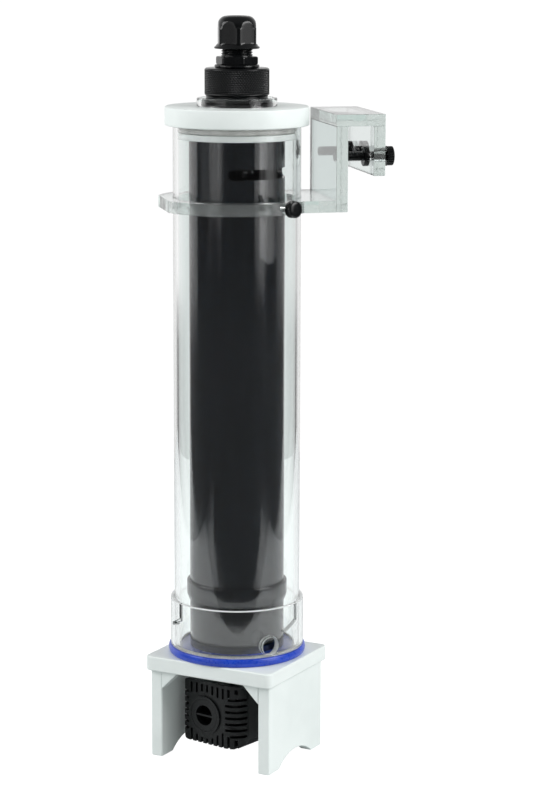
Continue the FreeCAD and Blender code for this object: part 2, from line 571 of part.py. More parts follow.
def column_cutters():
    """Upright slots over and under the intake ring. The lower ones run out through the bottom edge."""
    half = CAGE_SLOT_WIDTH / 2
    y0 = CAGE_Y0 - 1
    cutters = []
    for i in range(COLUMN_COUNT):
        x = COLUMN_X0 + i * COLUMN_PITCH
        away = abs(x - ROTOR_X)
        clear = math.sqrt(max(RING_CLEARANCE_R**2 - away**2, 0.0))
        beyond = max(away - RING_CLEARANCE_R, 0.0) / 2
        y1 = CAGE_Y0 + 2 * CAGE_WALL + beyond
        top = ROTOR_Z + max(clear, COLUMN_ABOVE) + beyond
        bottom = ROTOR_Z - max(clear, COLUMN_BELOW) - beyond
        cutters.append(block(x - half, x + half, y0, y1, top, CAGE_Z1 - CAGE_WALL))
        cutters.append(block(x - half, x + half, y0, y1, CAGE_Z0 - 1, bottom))
    return cutters


def row_cutters():
    """Level slots beside the intake ring. Those on the right run round the front corner."""
    half = CAGE_SLOT_WIDTH / 2
    y0 = CAGE_Y0 - 1
    side_y1 = CAGE_Y0 + CAGE_RIGHT_R - CAGE_LEFT_R / 2
    left_x1 = ROTOR_X - INTAKE_BOSS_R - 1
    cutters = []
    for i in range(ROW_COUNT):
        z = ROW_Z0 + i * ROW_PITCH
        drop = max(ROTOR_Z - COLUMN_BELOW - z, z - ROTOR_Z - COLUMN_ABOVE + 1, 0.0)
        right_x0 = ROTOR_X + RING_CLEARANCE_R + 1 + 2 * drop
        cutters.append(block(right_x0, CAGE_X1 + 1, y0, side_y1, z - half, z + half))
        cutters.append(block(CAGE_X0 - 1, left_x1, y0, CAGE_Y0 + 2 * CAGE_WALL, z - half, z + half))
    return cutters


def cage_pieces(cage):
    """The moulded strainer as flat plates and corners that meet face to face."""
    low_x, high_x = CAGE_X0 - 1, CAGE_X1 + 1
    left_x, right_x = CAGE_X0 + 2 * CAGE_LEFT_R - LAYER_GAP, CAGE_X1 - CAGE_RIGHT_R
    side_x = CAGE_X1 - CAGE_EDGE_R
    front_y, panel_y, corner_y = CAGE_Y0 - 2, CAGE_Y0 + CAGE_WALL, CAGE_Y0 + CAGE_RIGHT_R
    back_y = CAGE_Y1 + 1
    low_z, mid_z, high_z = CAGE_Z0 - 1, ROTOR_Z, CAGE_Z1 + 1
    boxes = [
        (left_x, ROTOR_X, front_y, panel_y, low_z, mid_z),
        (left_x, ROTOR_X, front_y, panel_y, mid_z, high_z),
        (ROTOR_X, right_x, front_y, panel_y, low_z, mid_z),
        (ROTOR_X, right_x, front_y, panel_y, mid_z, high_z),
        (left_x, right_x, panel_y, back_y, low_z, mid_z),
        (left_x, right_x, panel_y, NOTCH_Y0, mid_z, high_z),
        (left_x, 0, NOTCH_Y0, back_y, mid_z, high_z),
        (low_x, left_x, front_y, back_y, low_z, high_z),
        (right_x, high_x, front_y, corner_y, low_z, high_z),
        (side_x, high_x, corner_y, back_y, low_z, high_z),
        (right_x, side_x, corner_y, back_y, low_z, mid_z),
        (0, side_x, NOTCH_Y0, back_y, mid_z, high_z),
    ]
    return [cage.common(block(*box)) for box in boxes]


def strainer():
    boss_y = CAGE_Y0 - INTAKE_BOSS_RISE
    cage = rounded_case(0.0, CAGE_Y1)
    cage = cage.fuse(rotor_rod(INTAKE_BOSS_R, boss_y, CAGE_Y0 + 1)).removeSplitter()
    cage = cage.cut(rounded_case(CAGE_WALL, CAGE_Y1 + 1))
    cage = cage.cut(rotor_rod(DIAL_SEAT_R, boss_y - 1, boss_y + DIAL_SEAT_DEPTH))
    cage = cage.cut(rotor_rod(INTAKE_R, boss_y, CAGE_Y0 + CAGE_WALL + 1))
    notch = NOTCH_HALF_WIDTH
    cage = cage.cut(block(-notch, notch, NOTCH_Y0, CAGE_Y1 + 1, ROTOR_Z, CAGE_Z1 + 1))
    for cutter in column_cutters() + row_cutters():
        cage = cage.cut(cutter)
    solids = [solid for piece in cage_pieces(cage) for solid in piece.Solids]
    save("pump_strainer", *solids, turn=PUMP_ANGLE)

    face = boss_y + LAYER_GAP
    lip_y = face + DIAL_DEPTH - DIAL_LIP_THICK
    dial = rotor_rod(DIAL_R, face, face + DIAL_THICK)
    dial = dial.fuse(rotor_rod(DIAL_NECK_R, face + DIAL_THICK, face + DIAL_DEPTH))
    dial = dial.fuse(rotor_rod(DIAL_LIP_R, lip_y, face + DIAL_DEPTH)).removeSplitter()
    dial = dial.cut(rotor_rod(DIAL_HOLE_R, face - 1, face + DIAL_DEPTH + 1))
    reach, half = DIAL_HOLE_R + BAR_Y0, BAR_HALF_THICK
    x0, x1 = ROTOR_X - reach, ROTOR_X + reach
    bar = block(x0, x1, face + BAR_Y0, face + BAR_Y1, ROTOR_Z - half, ROTOR_Z + half)
    save("pump_flow_dial", dial.fuse(bar).removeSplitter(), turn=PUMP_ANGLE)


def pump_housing():
    turn = PUMP_ANGLE
    y0, y1 = VOLUTE_Y0, VOLUTE_Y1
    boss_top = CAGE_Z1 - CAGE_WALL - BOSS_TOP_GAP
    socket_z = boss_top - PIPE_SOCKET_DEPTH
    shoulder_z = ROTOR_Z + VOLUTE_R + BOSS_SHOULDER_GAP
    boss = disc(BOSS_R, ROTOR_Z, boss_top)
    boss = boss.cut(block(-BOSS_R, BOSS_R, -BOSS_R, y0, ROTOR_Z - 1, shoulder_z))
    boss = boss.cut(block(-BOSS_R, BOSS_R, y1, BOSS_R, ROTOR_Z - 1, shoulder_z))
    volute = rotor_rod(VOLUTE_R, y0, y1).fuse(boss).removeSplitter()
    volute = volute.cut(rotor_rod(CHAMBER_R, y0 - 1, CHAMBER_Y1))
    volute = volute.cut(rotor_rod(MAGNET_R + MAGNET_GAP, CHAMBER_Y1 - 1, y1 + 1))
    volute = volute.cut(disc(PIPE_BORE - PIPE_STEP, ROTOR_Z, boss_top + 1))
    volute = volute.cut(disc(PIPE_R + PIPE_FIT, socket_z, boss_top + 1))
    save("pump_volute", volute, turn=turn)
    save("pump_outlet_pipe", ring(PIPE_R, PIPE_BORE, socket_z, PIPE_TOP))

    front = y0 - COVER_THICK
    cover = rotor_rod(VOLUTE_R, front, y0).cut(rotor_rod(COVER_BORE, front - 1, y0 + 1))
    hub = rotor_rod(HUB_R, front, y0)
    spoke_y0, spoke_y1 = front + SPOKE_INSET, y0 - SPOKE_INSET
    for i in range(SPOKE_COUNT):
        spoke = block(0, COVER_BORE + 1, spoke_y0, spoke_y1, -SPOKE_HALF_WIDTH, SPOKE_HALF_WIDTH)
        hub = hub.fuse(around_rotor(spoke, 360.0 * i / SPOKE_COUNT))
    cover = cover.fuse(hub).removeSplitter().cut(rotor_rod(FRONT_BUSH_R, front - 1, y0 + 1))
    save("pump_volute_cover", cover, turn=turn)

    motor_y0, back = CAGE_Y1 + MOTOR_GAP, MOTOR_BACK
    motor = block(MOTOR_X0, MOTOR_X1, motor_y0, back, MOTOR_Z0, MOTOR_Z1)
    long_edges = [e for e in motor.Edges if e.BoundBox.YLength > back - motor_y0 - LAYER_GAP]
    motor = motor.makeFillet(MOTOR_ROUND, long_edges)
    motor = motor.fuse(rotor_rod(VOLUTE_R, y1, motor_y0)).removeSplitter()
    motor = motor.cut(rotor_rod(MAGNET_R + MAGNET_GAP, y1 - 1, WELL_END))
    motor = motor.cut(rotor_rod(REAR_BUSH_R, WELL_END - 1, BUSH_END))
    groove_r, groove_bore = SEAL_R + LAYER_GAP, SEAL_BORE - LAYER_GAP
    groove = rotor_rod(groove_r, y1 - 1, y1 + SEAL_GROOVE_DEPTH)
    motor = motor.cut(groove.cut(rotor_rod(groove_bore, y1 - 2, y1 + 2)))
    inlet = (INLET_X, INLET_Z)
    motor = motor.fuse(rod_y(INLET_BOSS_R, back, back + INLET_BOSS_RISE, *inlet)).removeSplitter()
    motor = motor.cut(rod_y(GROMMET_R, back - GROMMET_DEPTH, back + INLET_BOSS_RISE + 1, *inlet))
    save("pump_motor_block", motor, turn=turn)

    grommet = rod_y(GROMMET_R, back - GROMMET_DEPTH, back + GROMMET_RISE, *inlet)
    lead_hole = rod_y(GROMMET_BORE, back - GROMMET_DEPTH - 1, back + GROMMET_RISE + 1, *inlet)
    save("pump_cable_grommet", grommet.cut(lead_hole), turn=turn)

    seal = rotor_rod(SEAL_R, y1 + HALF_LAYER, y1 + SEAL_GROOVE_DEPTH - HALF_LAYER)
    save("pump_o_ring", seal.cut(rotor_rod(SEAL_BORE, y1, y1 + 2)), turn=turn)

    shaft = rotor_rod(SHAFT_R, front + 2 * LAYER_GAP, BUSH_END - 2 * LAYER_GAP)
    save("pump_shaft", shaft, turn=turn)
    front_bush = rotor_rod(FRONT_BUSH_R, front + LAYER_GAP, y0 - LAYER_GAP)
    rear_bush = rotor_rod(REAR_BUSH_R, WELL_END + LAYER_GAP, BUSH_END)
    bore = rotor_rod(SHAFT_R, front - 1, BUSH_END + 1)
    save("pump_shaft_bushes", front_bush.cut(bore), rear_bush.cut(bore), turn=turn)


def around_rotor(shape, degrees):
    """Turn a shape drawn at the origin about Y and move it to the rotor's axis."""
    moved = turned(shape, degrees, Vector(0, 1, 0))
    moved.translate(Vector(ROTOR_X, 0, ROTOR_Z))
    return moved


def impeller():
    bore = rotor_rod(SHAFT_R + SHAFT_GAP, VANE_Y0 - 1, MAGNET_Y1 + 1)
    wheel = rotor_rod(IMPELLER_HUB_R, VANE_Y0, WHEEL_HUB_Y1)
    wheel = wheel.fuse(rotor_rod(IMPELLER_R, WHEEL_Y, WHEEL_Y + WHEEL_THICK))
    half = VANE_HALF_THICK
    for i in range(VANE_COUNT):
        vane = block(IMPELLER_HUB_R - 1, IMPELLER_R - LAYER_GAP, VANE_Y0, WHEEL_Y + half, -half, half)
        wheel = wheel.fuse(around_rotor(vane, 360.0 * i / VANE_COUNT))
    save("pump_impeller", wheel.removeSplitter().cut(bore), turn=PUMP_ANGLE)
    magnet = rotor_rod(MAGNET_R, WHEEL_HUB_Y1, MAGNET_Y1).cut(bore)
    save("pump_rotor_magnet", magnet, turn=PUMP_ANGLE)


os.makedirs("parts", exist_ok=True)
stand()
base()
column()
lid()
neck()
knurled_nut()
cable_gland()
lamp()
bracket()
strainer()
pump_housing()
impeller()
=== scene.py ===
"""Looks of the clear tube reactor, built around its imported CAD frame. Units are metres."""

import math
import json

import bmesh
import bpy
from mathutils import Matrix, Vector


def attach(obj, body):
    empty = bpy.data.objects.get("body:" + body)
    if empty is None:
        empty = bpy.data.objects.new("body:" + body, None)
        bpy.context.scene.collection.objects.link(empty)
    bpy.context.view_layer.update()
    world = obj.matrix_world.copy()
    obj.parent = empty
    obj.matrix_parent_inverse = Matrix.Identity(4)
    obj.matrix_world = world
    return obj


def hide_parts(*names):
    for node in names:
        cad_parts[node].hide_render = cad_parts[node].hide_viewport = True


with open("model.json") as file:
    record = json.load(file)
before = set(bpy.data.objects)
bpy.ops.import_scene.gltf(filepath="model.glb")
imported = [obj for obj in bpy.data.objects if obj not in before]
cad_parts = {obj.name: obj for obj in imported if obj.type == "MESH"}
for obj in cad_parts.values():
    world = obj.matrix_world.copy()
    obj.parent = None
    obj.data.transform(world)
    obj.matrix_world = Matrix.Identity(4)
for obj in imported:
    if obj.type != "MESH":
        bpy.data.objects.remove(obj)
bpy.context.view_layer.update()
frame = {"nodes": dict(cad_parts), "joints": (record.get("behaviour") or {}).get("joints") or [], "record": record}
NODES = frame["nodes"]
JOINTS = {j["name"]: j for j in frame["joints"]}
BODY_OF = {n: b for b, ns in frame["record"]["behaviour"]["bodies"].items() for n in ns}
SLOT_OF = {s["node"]: s["material_slot"] for s in frame["record"]["subparts"]}
MM = 0.001
UP = Vector((0, 0, 1))
TAU = 2 * math.pi

# radii of the turned parts
TUBE_R, TUBE_BORE = 40 * MM, 37 * MM
SLEEVE_R, SLEEVE_BORE = 42.5 * MM, 40.08 * MM
BLACK_R, BLACK_BORE = 30 * MM, 27 * MM
NECK_THREAD_R, NECK_TOP_R, NECK_BORE = 19.15 * MM, 18.2 * MM, 12 * MM
NECK_HOLE_R = 19.25 * MM
GLAND_THREAD_R, GLAND_HOLE_R, GLAND_BORE = 9.75 * MM, 9.83 * MM, 7 * MM
PORT_R_IN_TUBE, PORT_R_IN_SLEEVE = 6.3 * MM, 5.8 * MM

# screw threads
NECK_PITCH, GLAND_PITCH, CLAMP_PITCH, COLLAR_PITCH = 2 * MM, 1.5 * MM, 1 * MM, 0.7 * MM
CLAMP_ROD_R, CLAMP_KNOB_R = 3 * MM, 6.2 * MM
COLLAR_ROD_R, COLLAR_KNOB_R = 2 * MM, 5.3 * MM

# acrylic: how much it bends light, and what it takes from light that goes deep
ACRYLIC_IOR = 1.49
ACRYLIC_DEPTH_COLOUR = (0.60, 0.74, 0.68, 1)
ACRYLIC_DEPTH_DENSITY = 7.0

RANGE_SOCKETS = ("From Min", "From Max", "To Min", "To Max")

# the camera stands VIEW_ANGLE round from +X; the bracket and the pump point along their own joints
VIEW_ANGLE = math.radians(-60.85)
TO_CAMERA = Vector((math.cos(VIEW_ANGLE), math.sin(VIEW_ANGLE), 0))
CAMERA_RIGHT = Vector((-TO_CAMERA.y, TO_CAMERA.x, 0))
BRACKET_OUT = Vector(JOINTS["clamp_screw_front"]["axis"])
COLLAR_OUT = Vector(JOINTS["collar_screw"]["axis"])
PUMP_BACK = Vector(JOINTS["impeller_spin"]["axis"])


# ---- measures from the frame
def reach(node, axis, about=(0, 0, 0)):
    """Lowest and highest place of a CAD node along an axis."""
    places = [(v.co - Vector(about)).dot(axis) for v in NODES[node].data.vertices]
    return min(places), max(places)


def heights(node):
    return reach(node, UP)


def outer_radius(node):
    return max(v.co.xy.length for v in NODES[node].data.vertices)


# ---- materials
class Shade:
    """A node-based material: a Principled shader and the textures that feed it."""

    def __init__(self, name):
        self.material = bpy.data.materials.new(name)
        self.material.use_nodes = True
        self.tree = self.material.node_tree
        self.shader = self.tree.nodes["Principled BSDF"]
        self.output = self.tree.nodes["Material Output"]
        self.place = self.node("ShaderNodeTexCoord").outputs["Object"]

    def node(self, kind, **values):
        made = self.tree.nodes.new(kind)
        for key, value in values.items():
            setattr(made, key, value)
        return made

    def link(self, source, target):
        self.tree.links.new(source, target)
        return self

    def set(self, **values):
        for key, value in values.items():
            self.shader.inputs[key.replace("_", " ")].default_value = value
        return self

    def stretched(self, scale):
        mapping = self.node("ShaderNodeMapping")
        mapping.inputs["Scale"].default_value = scale
        self.link(self.place, mapping.inputs["Vector"])
        return mapping.outputs["Vector"]

    def noise(self, scale, detail=3.0, place=None):
        made = self.node("ShaderNodeTexNoise")
        made.inputs["Scale"].default_value = scale
        made.inputs["Detail"].default_value = detail
        self.link(place or self.place, made.inputs["Vector"])
        return made.outputs["Fac"]

    def spread(self, source, low, high, at=(0.3, 0.7)):
        ranged = self.node("ShaderNodeMapRange")
        self.link(source, ranged.inputs["Value"])
        for key, value in zip(RANGE_SOCKETS, (*at, low, high)):
            ranged.inputs[key].default_value = value
        return ranged.outputs["Result"]

    def colours(self, source, first, second, at=(0.35, 0.65)):
        ramp = self.node("ShaderNodeValToRGB")
        self.link(source, ramp.inputs["Fac"])
        for stop, place, colour in zip(ramp.color_ramp.elements, at, (first, second)):
            stop.position = place
            stop.color = (*colour, 1)
        return ramp.outputs["Color"]

    def bump(self, source, depth, after=None):
        made = self.node("ShaderNodeBump")
        made.inputs["Strength"].default_value = 1.0
        made.inputs["Distance"].default_value = depth
        self.link(source, made.inputs["Height"])
        if after is not None:
            self.link(after, made.inputs["Normal"])
        return made.outputs["Normal"]

    def deepen(self):
        """Takes up light with depth, so that thick acrylic is a faint green-grey."""
        depth = self.node("ShaderNodeVolumeAbsorption")
        depth.inputs["Color"].default_value = ACRYLIC_DEPTH_COLOUR
        depth.inputs["Density"].default_value = ACRYLIC_DEPTH_DENSITY
        return self.link(depth.outputs["Volume"], self.output.inputs["Volume"])

    def finish(self, colour=None, roughness=None, normal=None):
        for source, name in ((colour, "Base Color"), (roughness, "Roughness"), (normal, "Normal")):
            if source is not None:
                self.link(source, self.shader.inputs[name])
        return self.material


def pvc():
    """White PVC sheet: faint mottling, rubbed patches and the fine grain of its rolled skin."""
    s = Shade("pvc_white").set(IOR=1.53)
    colour = s.colours(s.noise(34, 5), (0.765, 0.822, 0.806), (0.820, 0.874, 0.858))
    rough = s.spread(s.noise(140, 4), 0.30, 0.44)
    grain = s.bump(s.noise(2600, 2), 0.010 * MM)
    waves = s.bump(s.noise(90, 2), 0.05 * MM, grain)
    return s.finish(colour, rough, waves)


def clear_acrylic(name="acrylic_clear", tint=(1, 1, 1, 1), gloss=1.0):
    """Clear cast acrylic with light handling marks. Less gloss weakens its reflections."""
    s = Shade(name).set(Transmission_Weight=1.0, IOR=ACRYLIC_IOR, Base_Color=tint)
    s.set(Specular_Tint=(gloss, gloss, gloss, 1))
    marks = s.noise(1, 3, s.stretched((900, 900, 160)))
    rough = s.spread(marks, 0.0, 0.05, (0.52, 0.80))
    waves = s.bump(s.noise(26, 2), 0.03 * MM)
    return s.deepen().finish(None, rough, waves)


def sawn_acrylic():
    """Cut edge of an acrylic sheet: clear, with the saw's fine ridges and a trace of haze."""
    s = Shade("acrylic_sawn").set(Transmission_Weight=0.94, IOR=ACRYLIC_IOR)
    colour = s.colours(s.noise(500, 4), (0.88, 0.925, 0.915), (0.97, 0.985, 0.98))
    rough = s.spread(s.noise(260, 4), 0.02, 0.20)
    ridges = s.bump(s.noise(150, 3), 0.20 * MM)
    return s.deepen().finish(colour, rough, s.bump(s.noise(1400, 2), 0.012 * MM, ridges))


def drilled_acrylic():
    """Acrylic as a drill leaves it: dull, with fine rings round the hole."""
    s = Shade("acrylic_drilled").set(Transmission_Weight=0.22, IOR=ACRYLIC_IOR)
    colour = s.colours(s.noise(400, 3), (0.90, 0.94, 0.94), (0.97, 0.99, 0.99))
    rough = s.spread(s.noise(1200, 3), 0.22, 0.40)
    return s.finish(colour, rough, s.bump(s.noise(2600, 2), 0.02 * MM))


def quartz():
    """Fused quartz, clearer than the acrylic."""
    s = Shade("quartz_clear").set(Transmission_Weight=1.0, IOR=1.46, Base_Color=(1, 1, 1, 1))
    s.set(Specular_Tint=(0.1, 0.1, 0.1, 1))
    rough = s.spread(s.noise(1, 3, s.stretched((500, 500, 60))), 0.0, 0.04, (0.5, 0.8))
    return s.finish(None, rough, s.bump(s.noise(40, 2), 0.02 * MM))


def natural_nylon():
    """Milky nylon washers."""
    s = Shade("nylon_natural").set(Transmission_Weight=0.35, IOR=1.52)
    colour = s.colours(s.noise(300, 4), (0.78, 0.77, 0.73), (0.88, 0.87, 0.84))
    return s.finish(colour, s.spread(s.noise(900), 0.3, 0.45), s.bump(s.noise(1500), 0.01 * MM))


def opaque(name, dark, pale, patch, rough, grain, depth, **values):
    """A moulded or ground solid: two mottled colours, uneven gloss and a fine grain."""
    s = Shade(name).set(**values)
    colour = s.colours(s.noise(patch, 4), dark, pale)
    gloss = s.spread(s.noise(patch * 5, 4), *rough)
    return s.finish(colour, gloss, s.bump(s.noise(grain, 2), depth * MM))


def black_acrylic():
    """Polished black acrylic tube with long faint wipe marks."""
    s = Shade("acrylic_black").set(IOR=ACRYLIC_IOR, Specular_IOR_Level=1.0)
    colour = s.colours(s.noise(60, 4), (0.0030, 0.0052, 0.0080), (0.0044, 0.0072, 0.0105))
    wipes = s.noise(1, 4, s.stretched((260, 260, 18)))
    rough = s.spread(wipes, 0.07, 0.19, (0.35, 0.75))
    return s.finish(colour, rough, s.bump(s.noise(1, 2, s.stretched((60, 60, 8))), 0.002 * MM))


MATERIALS = {
    "white_pvc": pvc(),
    "clear_acrylic": clear_acrylic(),
    "drilled_acrylic": drilled_acrylic(),
    "sawn_acrylic": sawn_acrylic(),
    "tube_acrylic": clear_acrylic("acrylic_tube", gloss=0.42),
    "smoked_acrylic": clear_acrylic("acrylic_back_plate", (0.74, 0.79, 0.785, 1)),
    "black_acrylic": black_acrylic(),
    "blue_gasket": opaque("silicone_blue", (0.006, 0.042, 0.42), (0.010, 0.060, 0.52), 110,
                          (0.24, 0.36), 1800, 0.010, IOR=1.45, Coat_Weight=0.25, Coat_Roughness=0.2),
    "black_nylon": opaque("nylon_black", (0.0016, 0.0020, 0.0024), (0.0032, 0.0038, 0.0044), 160,
                          (0.14, 0.24), 3000, 0.006, IOR=1.5, Specular_IOR_Level=0.34),
    "white_nylon": natural_nylon(),
    "silicone": opaque("silicone_grey", (0.55, 0.56, 0.54), (0.66, 0.67, 0.65), 200,
                       (0.35, 0.5), 1800, 0.01, IOR=1.42),
    "black_rubber": opaque("rubber_black", (0.012, 0.012, 0.013), (0.022, 0.022, 0.023), 200,
                           (0.5, 0.65), 1500, 0.02, IOR=1.5),
    "quartz": quartz(),
    "ceramic": opaque("ceramic_glazed", (0.74, 0.73, 0.70), (0.82, 0.81, 0.78), 120,
                      (0.15, 0.28), 900, 0.01, IOR=1.6),
    "pin_brass": opaque("brass_turned", (0.55, 0.38, 0.15), (0.70, 0.52, 0.24), 400,
                        (0.22, 0.36), 2600, 0.006, Metallic=1.0),
    "black_pump_plastic": opaque("plastic_charcoal", (0.0028, 0.0034, 0.0037),
                                 (0.0055, 0.0063, 0.0067), 130, (0.30, 0.44), 2200, 0.012,
                                 IOR=1.5, Specular_IOR_Level=0.3),
    "ferrite": opaque("ferrite_ground", (0.045, 0.045, 0.047), (0.075, 0.075, 0.078), 500,
                      (0.45, 0.6), 2600, 0.02, Metallic=0.4),
}


# nodes whose look is a variant of their slot's material
LOOK_OF = {"outer_tube": "tube_acrylic", "base_socket_sleeve": "tube_acrylic", "neck_ring": "tube_acrylic",
           "neck_seat": "black_nylon", "bracket_inner_plate": "smoked_acrylic"}


# ---- making pieces
def mesh_from(bm, name="cutter", outward=False):
    """Turns a bmesh into a mesh, with its faces turned outward if asked, and frees it."""
    if outward:
        bmesh.ops.recalc_face_normals(bm, faces=bm.faces)
    mesh = bpy.data.meshes.new(name)
    bm.to_mesh(mesh)
    bm.free()
    return mesh


def linked(name, data):
    """Object with this data, in the scene."""
    made = bpy.data.objects.new(name, data)
    bpy.context.scene.collection.objects.link(made)
    return made


def smoothed(mesh, sharp=32.0):
    """Round stretches shade smooth, and edges sharper than the angle stay crisp."""
    made = bmesh.new()
    made.from_mesh(mesh)
    bmesh.ops.recalc_face_normals(made, faces=made.faces)
    for face in made.faces:
        face.smooth = True
    limit = math.radians(sharp)
    for edge in made.edges:
        edge.smooth = len(edge.link_faces) == 2 and edge.calc_face_angle(0.0) < limit
    made.to_mesh(mesh)
    made.free()


def place_piece(name, mesh, node):
    """Links a mesh as the piece that stands for a CAD node, on its body and in its material."""
    piece = linked(name, mesh)
    mesh.materials.append(MATERIALS[LOOK_OF.get(node, SLOT_OF[node])])
    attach(piece, BODY_OF[node])
    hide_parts(node)
    return piece


def frame_along(axis, origin, toward=None):
    """Matrix whose local Z is the axis and whose local X turns toward a direction."""
    z = Vector(axis).normalized()
    x = toward or (Vector((1, 0, 0)) if abs(z.x) < 0.9 else UP)
    x = (x - x.dot(z) * z).normalized()
    y = z.cross(x)
    m = Matrix((x, y, z)).transposed().to_4x4()
    m.translation = Vector(origin)
    return m


def spun(bm, profile, segments, shape=None, matrix=Matrix.Identity(4)):
    """Turns a closed outline of (radius, height) about local Z. shape may vary the radius."""
    rings = []
    for i in range(segments):
        angle = TAU * i / segments
        ring = []
        for r, z in profile:
            away = shape(angle, r, z) if shape else r
            ring.append(bm.verts.new(matrix @ Vector((away * math.cos(angle), away * math.sin(angle), z))))
        rings.append(ring)
    count = len(profile)
    for i in range(segments):
        a, b = rings[i], rings[(i + 1) % segments]
        for k in range(count):
            j = (k + 1) % count
            if profile[k][0] == 0 and profile[j][0] == 0:
                continue
            bm.faces.new((a[k], b[k], b[j], a[j]))
    bmesh.ops.remove_doubles(bm, verts=bm.verts, dist=1e-7)


def lathe(name, node, *outlines, sharp=32.0, matrices=(Matrix.Identity(4),), **options):
    """A turned piece: each closed outline of (radius, height) is turned once in each matrix."""
    bm = bmesh.new()
    for outline in outlines:
        for matrix in matrices:
            single = bmesh.new()
            spun(single, outline, matrix=matrix, **options)
            part = mesh_from(single, "part")
            bm.from_mesh(part)
            bpy.data.meshes.remove(part)
    mesh = mesh_from(bm, name)
    smoothed(mesh, sharp)
    return place_piece(name, mesh, node)


def rounded(points, radius, steps=4):
    """Rounds every corner of a closed outline. radius is one number, or one for each point."""
    done = []
    count = len(points)
    for i in range(count):
        r = radius[i] if isinstance(radius, (list, tuple)) else radius
        p, a, b = (Vector(points[j % count]) for j in (i, i - 1, i + 1))
        u, v = (a - p), (b - p)
        turn = u.angle(v)
        cut = min(r / math.tan(turn / 2), 0.45 * u.length, 0.45 * v.length) if r > 0 else 0
        if cut <= 1e-9 or turn > math.radians(178):
            done.append(tuple(p))
            continue
        first, last = p + u.normalized() * cut, p + v.normalized() * cut
        real = cut * math.tan(turn / 2)
        centre = p + (u.normalized() + v.normalized()).normalized() * math.hypot(cut, real)
        sweep = (first - centre).angle_signed(last - centre)
        for k in range(steps + 1):
            done.append(tuple(centre + Matrix.Rotation(-sweep * k / steps, 2) @ (first - centre)))
    return done


def tube(outer, inner, z0, z1, edge, steps=3):
    """Outline of a tube or ring with rounded edges."""
    corners = [(inner, z0), (outer, z0), (outer, z1), (inner, z1)]
    return rounded(corners, min(edge, 0.4 * (outer - inner), 0.4 * (z1 - z0)), steps)


def ring(name, node, outer, inner, edge, segments, steps=3):
    """Upright tube or washer with rounded edges, as high as its CAD node."""
    return lathe(name, node, tube(outer, inner, *heights(node), edge, steps), segments=segments)


def stepped(start, end, count):
    """Evenly spaced values from start to end, both included."""
    return [start + (end - start) * k / count for k in range(count + 1)]


def oval(mid_r, mid_z, half_r, half_z, count=20):
    """Outline of the cord of an O-ring."""
    outline = []
    for k in range(count):
        angle = TAU * k / count
        outline.append((mid_r + half_r * math.cos(angle), mid_z + half_z * math.sin(angle)))
    return outline


def quarter(count, first=0):
    """Angles that divide a quarter turn evenly."""
    return [math.pi / 2 * k / count for k in range(first, count + 1)]


def band(bm, first, second):
    """Faces between two rings of corners."""
    for k in range(len(first)):
        j = (k + 1) % len(first)
        bm.faces.new((first[k], second[k], second[j], first[j]))


def applied(piece):
    """Mesh of a piece with its modifiers applied."""
    bpy.context.view_layer.update()
    evaluated = piece.evaluated_get(bpy.context.evaluated_depsgraph_get())
    return bpy.data.meshes.new_from_object(evaluated)


def joined_solids(mesh):
    """One skin for a node whose solids meet face to face."""
    whole = linked("whole", mesh)
    for shown in bpy.context.selected_objects:
        shown.select_set(False)
    bpy.context.view_layer.objects.active = whole
    whole.select_set(True)
    bpy.ops.object.mode_set(mode="EDIT")
    bpy.ops.mesh.select_all(action="SELECT")
    bpy.ops.mesh.separate(type="LOOSE")
    bpy.ops.object.mode_set(mode="OBJECT")
    others = [o for o in bpy.context.selected_objects if o is not whole]
    group = bpy.data.collections.new("others")
    for other in others:
        group.objects.link(other)
    step = whole.modifiers.new("join", "BOOLEAN")
    step.operation = "UNION"
    step.operand_type = "COLLECTION"
    step.collection = group
    step.solver = "EXACT"
    result = applied(whole)
    for gone in others + [whole]:
        bpy.data.objects.remove(gone)
    bpy.data.collections.remove(group)
    return result


def cleaned(source, target, weld):
    """Copies a mesh with its doubled corners welded and the lines across its flat faces removed."""
    flat = math.radians(0.5)
    bm = bmesh.new()
    bm.from_mesh(source)
    bmesh.ops.remove_doubles(bm, verts=bm.verts, dist=weld)
    bmesh.ops.dissolve_limit(bm, angle_limit=flat, verts=bm.verts, edges=bm.edges)
    bm.to_mesh(target)
    bm.free()


def refined(name, node, bevel, segments=2, sharp=30.0, join=False):
    """A CAD node's own shape with its edges broken by a small round."""
    mesh = bpy.data.meshes.new(name)
    cleaned(NODES[node].data, mesh, 0.001 * MM)
    if join:
        mesh = joined_solids(mesh)
        cleaned(mesh, mesh, 0.002 * MM)
    smoothed(mesh, sharp)
    piece = place_piece(name, mesh, node)
    edges = piece.modifiers.new("edges", "BEVEL")
    edges.width = bevel
    edges.segments = segments
    edges.limit_method = "ANGLE"
    edges.angle_limit = math.radians(sharp)
    edges.use_clamp_overlap = True
    weighted = piece.modifiers.new("normals", "WEIGHTED_NORMAL")
    weighted.keep_sharp = False
    return piece


def cut_away(piece, cutters, sharp=32.0):
    """Subtracts closed cutter meshes from a piece and keeps the result as its mesh."""
    helpers = [linked(f"cutter_{k}", mesh) for k, mesh in enumerate(cutters)]
    for helper in helpers:
        step = piece.modifiers.new("cut", "BOOLEAN")
        step.operation = "DIFFERENCE"
        step.solver = "EXACT"
        step.object = helper
    result = applied(piece)
    piece.modifiers.clear()
    result.name = piece.name
    piece.data = result
    for helper in helpers:
        bpy.data.objects.remove(helper)
    smoothed(result, sharp)
    return piece


